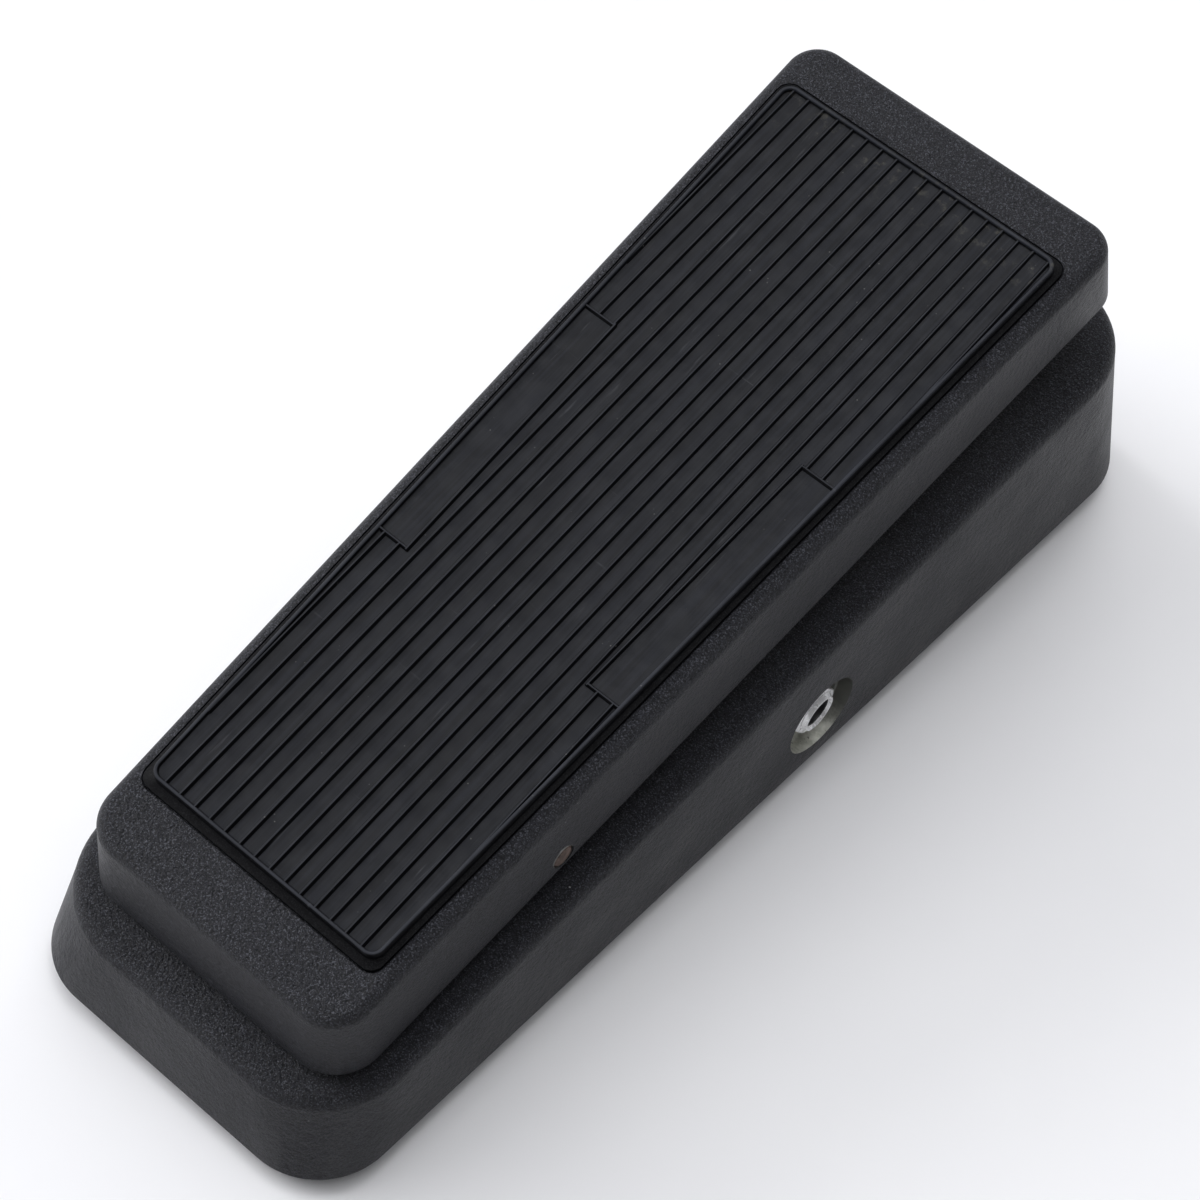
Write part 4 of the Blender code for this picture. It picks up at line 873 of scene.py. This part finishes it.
# ---- jacks -----------------------------------------------------------------------------
def chamfered_nut(flats, bore, low, high, chamfer):
    """Hexagon nut whose corners are turned off on its outer face."""
    sides = 96
    flat = flats / 2
    outer = []
    for height, pulled in ((low, 0.0), (high - chamfer, 0.0), (high, chamfer)):
        ring = []
        for i in range(sides):
            angle = 2 * math.pi * i / sides
            from_flat = (angle + math.pi / 6) % (math.pi / 3) - math.pi / 6
            radius = flat / math.cos(from_flat)
            drop = 0.0
            if pulled == 0.0 and height > low:
                drop = 0.45 * max(0.0, radius - 1.04 * flat)
            if pulled > 0.0:
                radius = min(radius - pulled, 1.04 * flat)
            ring.append((radius * math.cos(angle), radius * math.sin(angle), height - drop))
        outer.append(ring)
    inner = []
    angles = [2 * math.pi * i / sides for i in range(sides)]
    for radius, height in ((bore + 0.0002, high), (bore, high - 0.0002), (bore, low)):
        inner.append([(radius * math.cos(a), radius * math.sin(a), height) for a in angles])
    return loft(outer + inner, closed=True)


def jack_case(word, place, plastic):
    """Plastic body inside the casting, bored for the nose."""
    half = JACK_BODY_HALF
    plan = outline((-half, half, half, half, 0.0010, 0.0010), 6)
    body = prism(plan, JACK_BODY_END, JACK_FACE - WALL - GAP)
    case = piece(word + "_jack_case", body, plastic, "base", [word + "_jack"], place)
    combine(case, rod(JACK_THREAD_RADIUS - 0.0002, 0.010, 0.050), "DIFFERENCE")


def jack_nose(word, place, plastic, metal, start):
    """Threaded metal nose with a flange at its root, a countersunk mouth and a bore wall in black plastic
    as painted shade.
    """
    thread, bore = JACK_THREAD_RADIUS, JACK_BORE_RADIUS
    pitch, depth = 0.0007, 0.0003
    root = JACK_FACE + GAP + JACK_NUT_HEIGHT
    profile = [(bore, start), (thread - 0.0004, start)]
    height = JACK_FACE - WALL
    while height < JACK_FACE:
        profile += [(thread - depth, height), (thread, height + pitch / 2)]
        height += pitch
    profile += [(thread, height), (thread, root - 0.0002), (thread + 0.0004, root + 0.0001),
                (thread + 0.0001, root + 0.0004), (thread - 0.0002, JACK_MOUTH),
                (bore + 0.0005, JACK_MOUTH), (bore + 0.0001, JACK_MOUTH - 0.0006),
                (bore, JACK_MOUTH - 0.0010)]
    nose = piece(word + "_jack_nose", turned(profile, 96), metal, "base", (), place)
    nose.data.materials.append(plastic)
    # painted shade: the metal bore's wall takes the black plastic so the hole looks dark
    for face in nose.data.polygons:
        if math.hypot(face.center.x, face.center.y) < bore + 0.08 * MM:
            face.material_index = 1


def jack(side, word, plastic, metal):
    """Case, nose, hexagon nut in the recess, and the closed end of the bore."""
    place = jack_place(side)
    start = JACK_BODY_END + 0.002
    jack_case(word, place, plastic)
    jack_nose(word, place, plastic, metal, start)
    seat = JACK_FACE + GAP
    nut = chamfered_nut(JACK_NUT_FLATS, JACK_THREAD_RADIUS + 0.0001, seat, seat + JACK_NUT_HEIGHT,
                        0.00012)
    turn = Matrix.Rotation(math.radians(5), 4, "Z")
    piece(word + "_jack_hexagon", nut, metal, "base", [word + "_jack_nut"],
          place @ turn)
    back = rod(JACK_THREAD_RADIUS - 0.0006, JACK_BODY_END - 0.0002, start - 0.0002)
    piece(word + "_jack_end", back, plastic, "base", (), place)


# ---- pivot and switch ------------------------------------------------------------------
def pivot_pin(rust, paint_ring):
    """Cross pin with slightly domed ends, and a chipped lip around each of its holes."""
    half, radius = PIVOT_SHAFT_HALF, PIVOT_SHAFT_RADIUS
    end = [(0.0006, half), (radius * 0.6, half - 0.00004), (radius - 0.0003, half - 0.00014),
           (radius, half - 0.0005)]
    profile = [(r, -h) for r, h in end] + [(r, h) for r, h in reversed(end)]
    middle = TREADLE_FRAME @ at(TREADLE_SHIFT, 0, 0)
    piece("pivot_pin", turned(profile, 48, bored=False), rust, "treadle", ["pivot_shaft"],
          middle @ along_x(0, 0, 0))
    skirt = half - GAP
    outer, bore = radius + 0.0007, radius + 0.00005
    lip = [(outer, skirt - 0.0006), (outer - 0.0002, skirt + 0.00005),
           (bore + 0.0001, skirt + 0.0001), (bore, skirt - 0.0006)]
    for side, word in ((-1, "left"), (1, "right")):
        piece("pivot_hole_edge_" + word, turned(lip, 48), paint_ring, "treadle", (),
              middle @ along_x(0, 0, 0, side))


def toe_switch(metal, washer_metal):
    """Nut and washer on the sloping top, and the button that moves in them."""
    place = switch_frame()
    nut = chamfered_nut(SWITCH_NUT_FLATS, SWITCH_HOLE_RADIUS - 0.0001, SWITCH_NUT_LOW,
                        SWITCH_NUT_HIGH, 0.0004)
    piece("switch_hexagon", nut, metal, "base", ["switch_nut"], place)
    hole, rim, high = SWITCH_HOLE_RADIUS, SWITCH_WASHER_RADIUS, SWITCH_WASHER_HIGH
    washer = [(hole, GAP), (rim - 0.0002, GAP), (rim, high / 2), (rim - 0.0002, high), (hole, high)]
    piece("switch_lock_washer", turned(washer, 64), washer_metal, "base", ["switch_washer"],
          place)
    radius, top = PLUNGER_RADIUS, PLUNGER_TOP
    plunger = [(radius, -0.0018), (radius, top - 0.0010)]
    plunger += arc((radius - 0.0010, top - 0.0010), 0.0010, 15, 90, 5)
    plunger += [(0.0005, top)]
    piece("switch_button", turned(plunger, 48, bored=False), metal, "plunger", ["switch_plunger"],
          place)


# ---- feet ------------------------------------------------------------------------------
def foot(corner, x, y, rubber):
    """Tapered rubber foot with rounded edges and a well for its screw."""
    under = FOOT_HEIGHT - GAP
    bore, well, seat = SCREW_RADIUS + GAP, FOOT_WELL_RADIUS, FOOT_SEAT
    profile = [(bore, under), (bore, seat), (well - 0.0003, seat), (well, seat - 0.0003), (well, 0.0003),
               (well + 0.0003, 0.0)]
    profile += arc((0.0066, 0.0008), 0.0008, -90, -8, 5)
    profile += [(0.0085, under - 0.0004), (0.0082, under)]
    piece("foot_pad_" + corner, turned(profile, 64), rubber, "base", ["foot_" + corner],
          at(x, y, 0))


def foot_screw(corner, metal, place):
    """Pan head with a cross recess, standing on z = 0 of its place."""
    radius, height = FOOT_SCREW_HEAD_RADIUS, FOOT_SCREW_HEAD_HEIGHT
    dome = [(radius, 0.0), (radius, height * 0.35)]
    dome += arc((radius * 0.55, height * 0.35), height * 0.65, 0, 90, 5)
    dome = [(min(r, radius), h) for r, h in dome]
    profile = [(SCREW_RADIUS, -0.004), (SCREW_RADIUS, 0.0)] + dome + [(0.0003, height)]
    head = piece("foot_screw_head_" + corner, turned(profile, 32, bored=False), metal, "base",
                 ["foot_screw_" + corner], place)
    arm, half_slot = radius * 0.55, 0.00025
    floor, over = height * 0.4, height + 0.001
    for half_x, half_y in ((arm, half_slot), (half_slot, arm)):
        combine(head, block((-half_x, -half_y, floor), (half_x, half_y, over)), "DIFFERENCE")


def underside(rubber, metal):
    """A foot and its screw at each corner."""
    flip = Matrix.Rotation(math.pi, 4, "X")
    for corner, (x, y) in FOOT_PLACES.items():
        foot(corner, x, y, rubber)
        foot_screw(corner, metal, at(x, y, FOOT_SEAT - GAP) @ flip)


# ---- stage -----------------------------------------------------------------------------
def make_floor():
    """A wide flat floor for the pedal to stand on."""
    far = FLOOR_HALF
    mesh = bpy.data.meshes.new("floor")
    mesh.from_pydata([(-far, -far, 0.0), (far, -far, 0.0), (far, far, 0.0), (-far, far, 0.0)], [],
                     [(0, 1, 2, 3)])
    mesh.update()
    mesh.materials.append(floor_material())
    floor = bpy.data.objects.new("floor", mesh)
    bpy.context.collection.objects.link(floor)


def aimed(place, target):
    """Rotation that looks from a place to a target with world up."""
    return (Vector(target) - Vector(place)).to_track_quat("-Z", "Y")


def sun(name, towards, strength, angle):
    """A very wide soft light from a direction, its angle in degrees."""
    data = bpy.data.lights.new(name, "SUN")
    data.energy = strength
    data.angle = math.radians(angle)
    data.color = SUN_COLOUR
    light = bpy.data.objects.new(name, data)
    light.rotation_mode = "QUATERNION"
    light.rotation_quaternion = aimed(towards, (0, 0, 0))
    bpy.context.collection.objects.link(light)


def make_lights():
    """A strong softbox low on the left, paler ones above and toward the toe, a low fill at the toe."""
    sun("low_left_softbox", (-0.92, -0.20, 0.34), 2.20, 42)
    sun("left_softbox", (-0.65, -0.16, 0.74), 0.80, 42)
    sun("overhead_softbox", (0.07, 0.0, 1.0), 1.28, 55)
    sun("toe_left_softbox", (-0.25, 0.43, 0.87), 0.93, 45)
    sun("low_toe_fill", (0.0, 0.94, 0.34), 0.43, 40)
    world = bpy.data.worlds.new("studio")
    world.use_nodes = True
    background = world.node_tree.nodes["Background"]
    background.inputs["Color"].default_value = (0.95, 0.96, 1.0, 1.0)
    background.inputs["Strength"].default_value = 0.05
    bpy.context.scene.world = world


def make_camera():
    """A long lens that looks down on the heel from the player's right."""
    data = bpy.data.cameras.new("camera")
    data.lens = CAMERA_LENS
    data.sensor_width = SENSOR_WIDTH
    data.clip_start = 0.01
    data.clip_end = 50.0
    camera = bpy.data.objects.new("camera", data)
    camera.location = CAMERA_PLACE
    camera.rotation_mode = "QUATERNION"
    look = aimed(CAMERA_PLACE, CAMERA_TARGET).to_matrix().to_4x4()
    camera.rotation_quaternion = (look @ Matrix.Rotation(CAMERA_ROLL, 4, "Z")).to_quaternion()
    bpy.context.collection.objects.link(camera)
    bpy.context.scene.camera = camera


# ---- everything together ---------------------------------------------------------------
def finishes():
    """One material for each of the record's finishes, worn by the CAD nodes that stay."""
    return {
        "black_rubber": plain_rubber("bumper_rubber", (0.014, 0.014, 0.015), 0.35),
        "zinc_steel": plated_steel("zinc_plated_steel", (0.58, 0.59, 0.56)),
        "bright_nut": polished("bright_nickel", (0.78, 0.77, 0.74), 0.16),
        "brown_steel": rusty_steel(),
        "white_nylon": moulded_plastic("white_nylon", (0.66, 0.65, 0.60), 0.38),
        "black_plastic": moulded_plastic("black_plastic", (0.016, 0.016, 0.017), 0.36),
        "green_board": circuit_green(),
        "copper_ferrite": copper_winding(),
        "blue_film": moulded_plastic("blue_film", (0.035, 0.085, 0.28), 0.25),
        "battery_wrap": moulded_plastic("battery_wrap", (0.055, 0.056, 0.060), 0.28),
        "grey_foam": open_foam(),
        "red_wire": moulded_plastic("red_wire", (0.36, 0.020, 0.016), 0.35),
    }


def dress_nodes(looks):
    """Give each CAD node that stays its procedural finish."""
    for name in sorted(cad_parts):
        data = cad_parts[name].data
        for index, material in enumerate(data.materials):
            found = looks.get(material.name.split(".")[0])
            if found:
                data.materials[index] = found


def main():
    looks = finishes()
    dress_nodes(looks)
    base_coat = powder_coat("base_powder_coat", BASE_RUBS)
    treadle_coat = powder_coat("treadle_powder_coat")
    base_housing(base_coat, bare_zinc())
    treadle(treadle_coat)
    treadle_mat(mat_rubber())
    plating = polished("nut_nickel", (0.97, 0.97, 0.98), 0.24, 0.35)
    for side, word in ((-1, "output"), (1, "input")):
        jack(side, word, looks["black_plastic"], plating)
    pivot_pin(looks["brown_steel"], plated_steel("chipped_edge", (0.15, 0.15, 0.145)))
    toe_switch(looks["bright_nut"], looks["zinc_steel"])
    underside(plain_rubber("foot_rubber", (0.016, 0.016, 0.017), 0.6), looks["zinc_steel"])
    make_floor()
    make_lights()
    make_camera()
    bpy.context.scene.view_settings.view_transform = "Standard"


main()
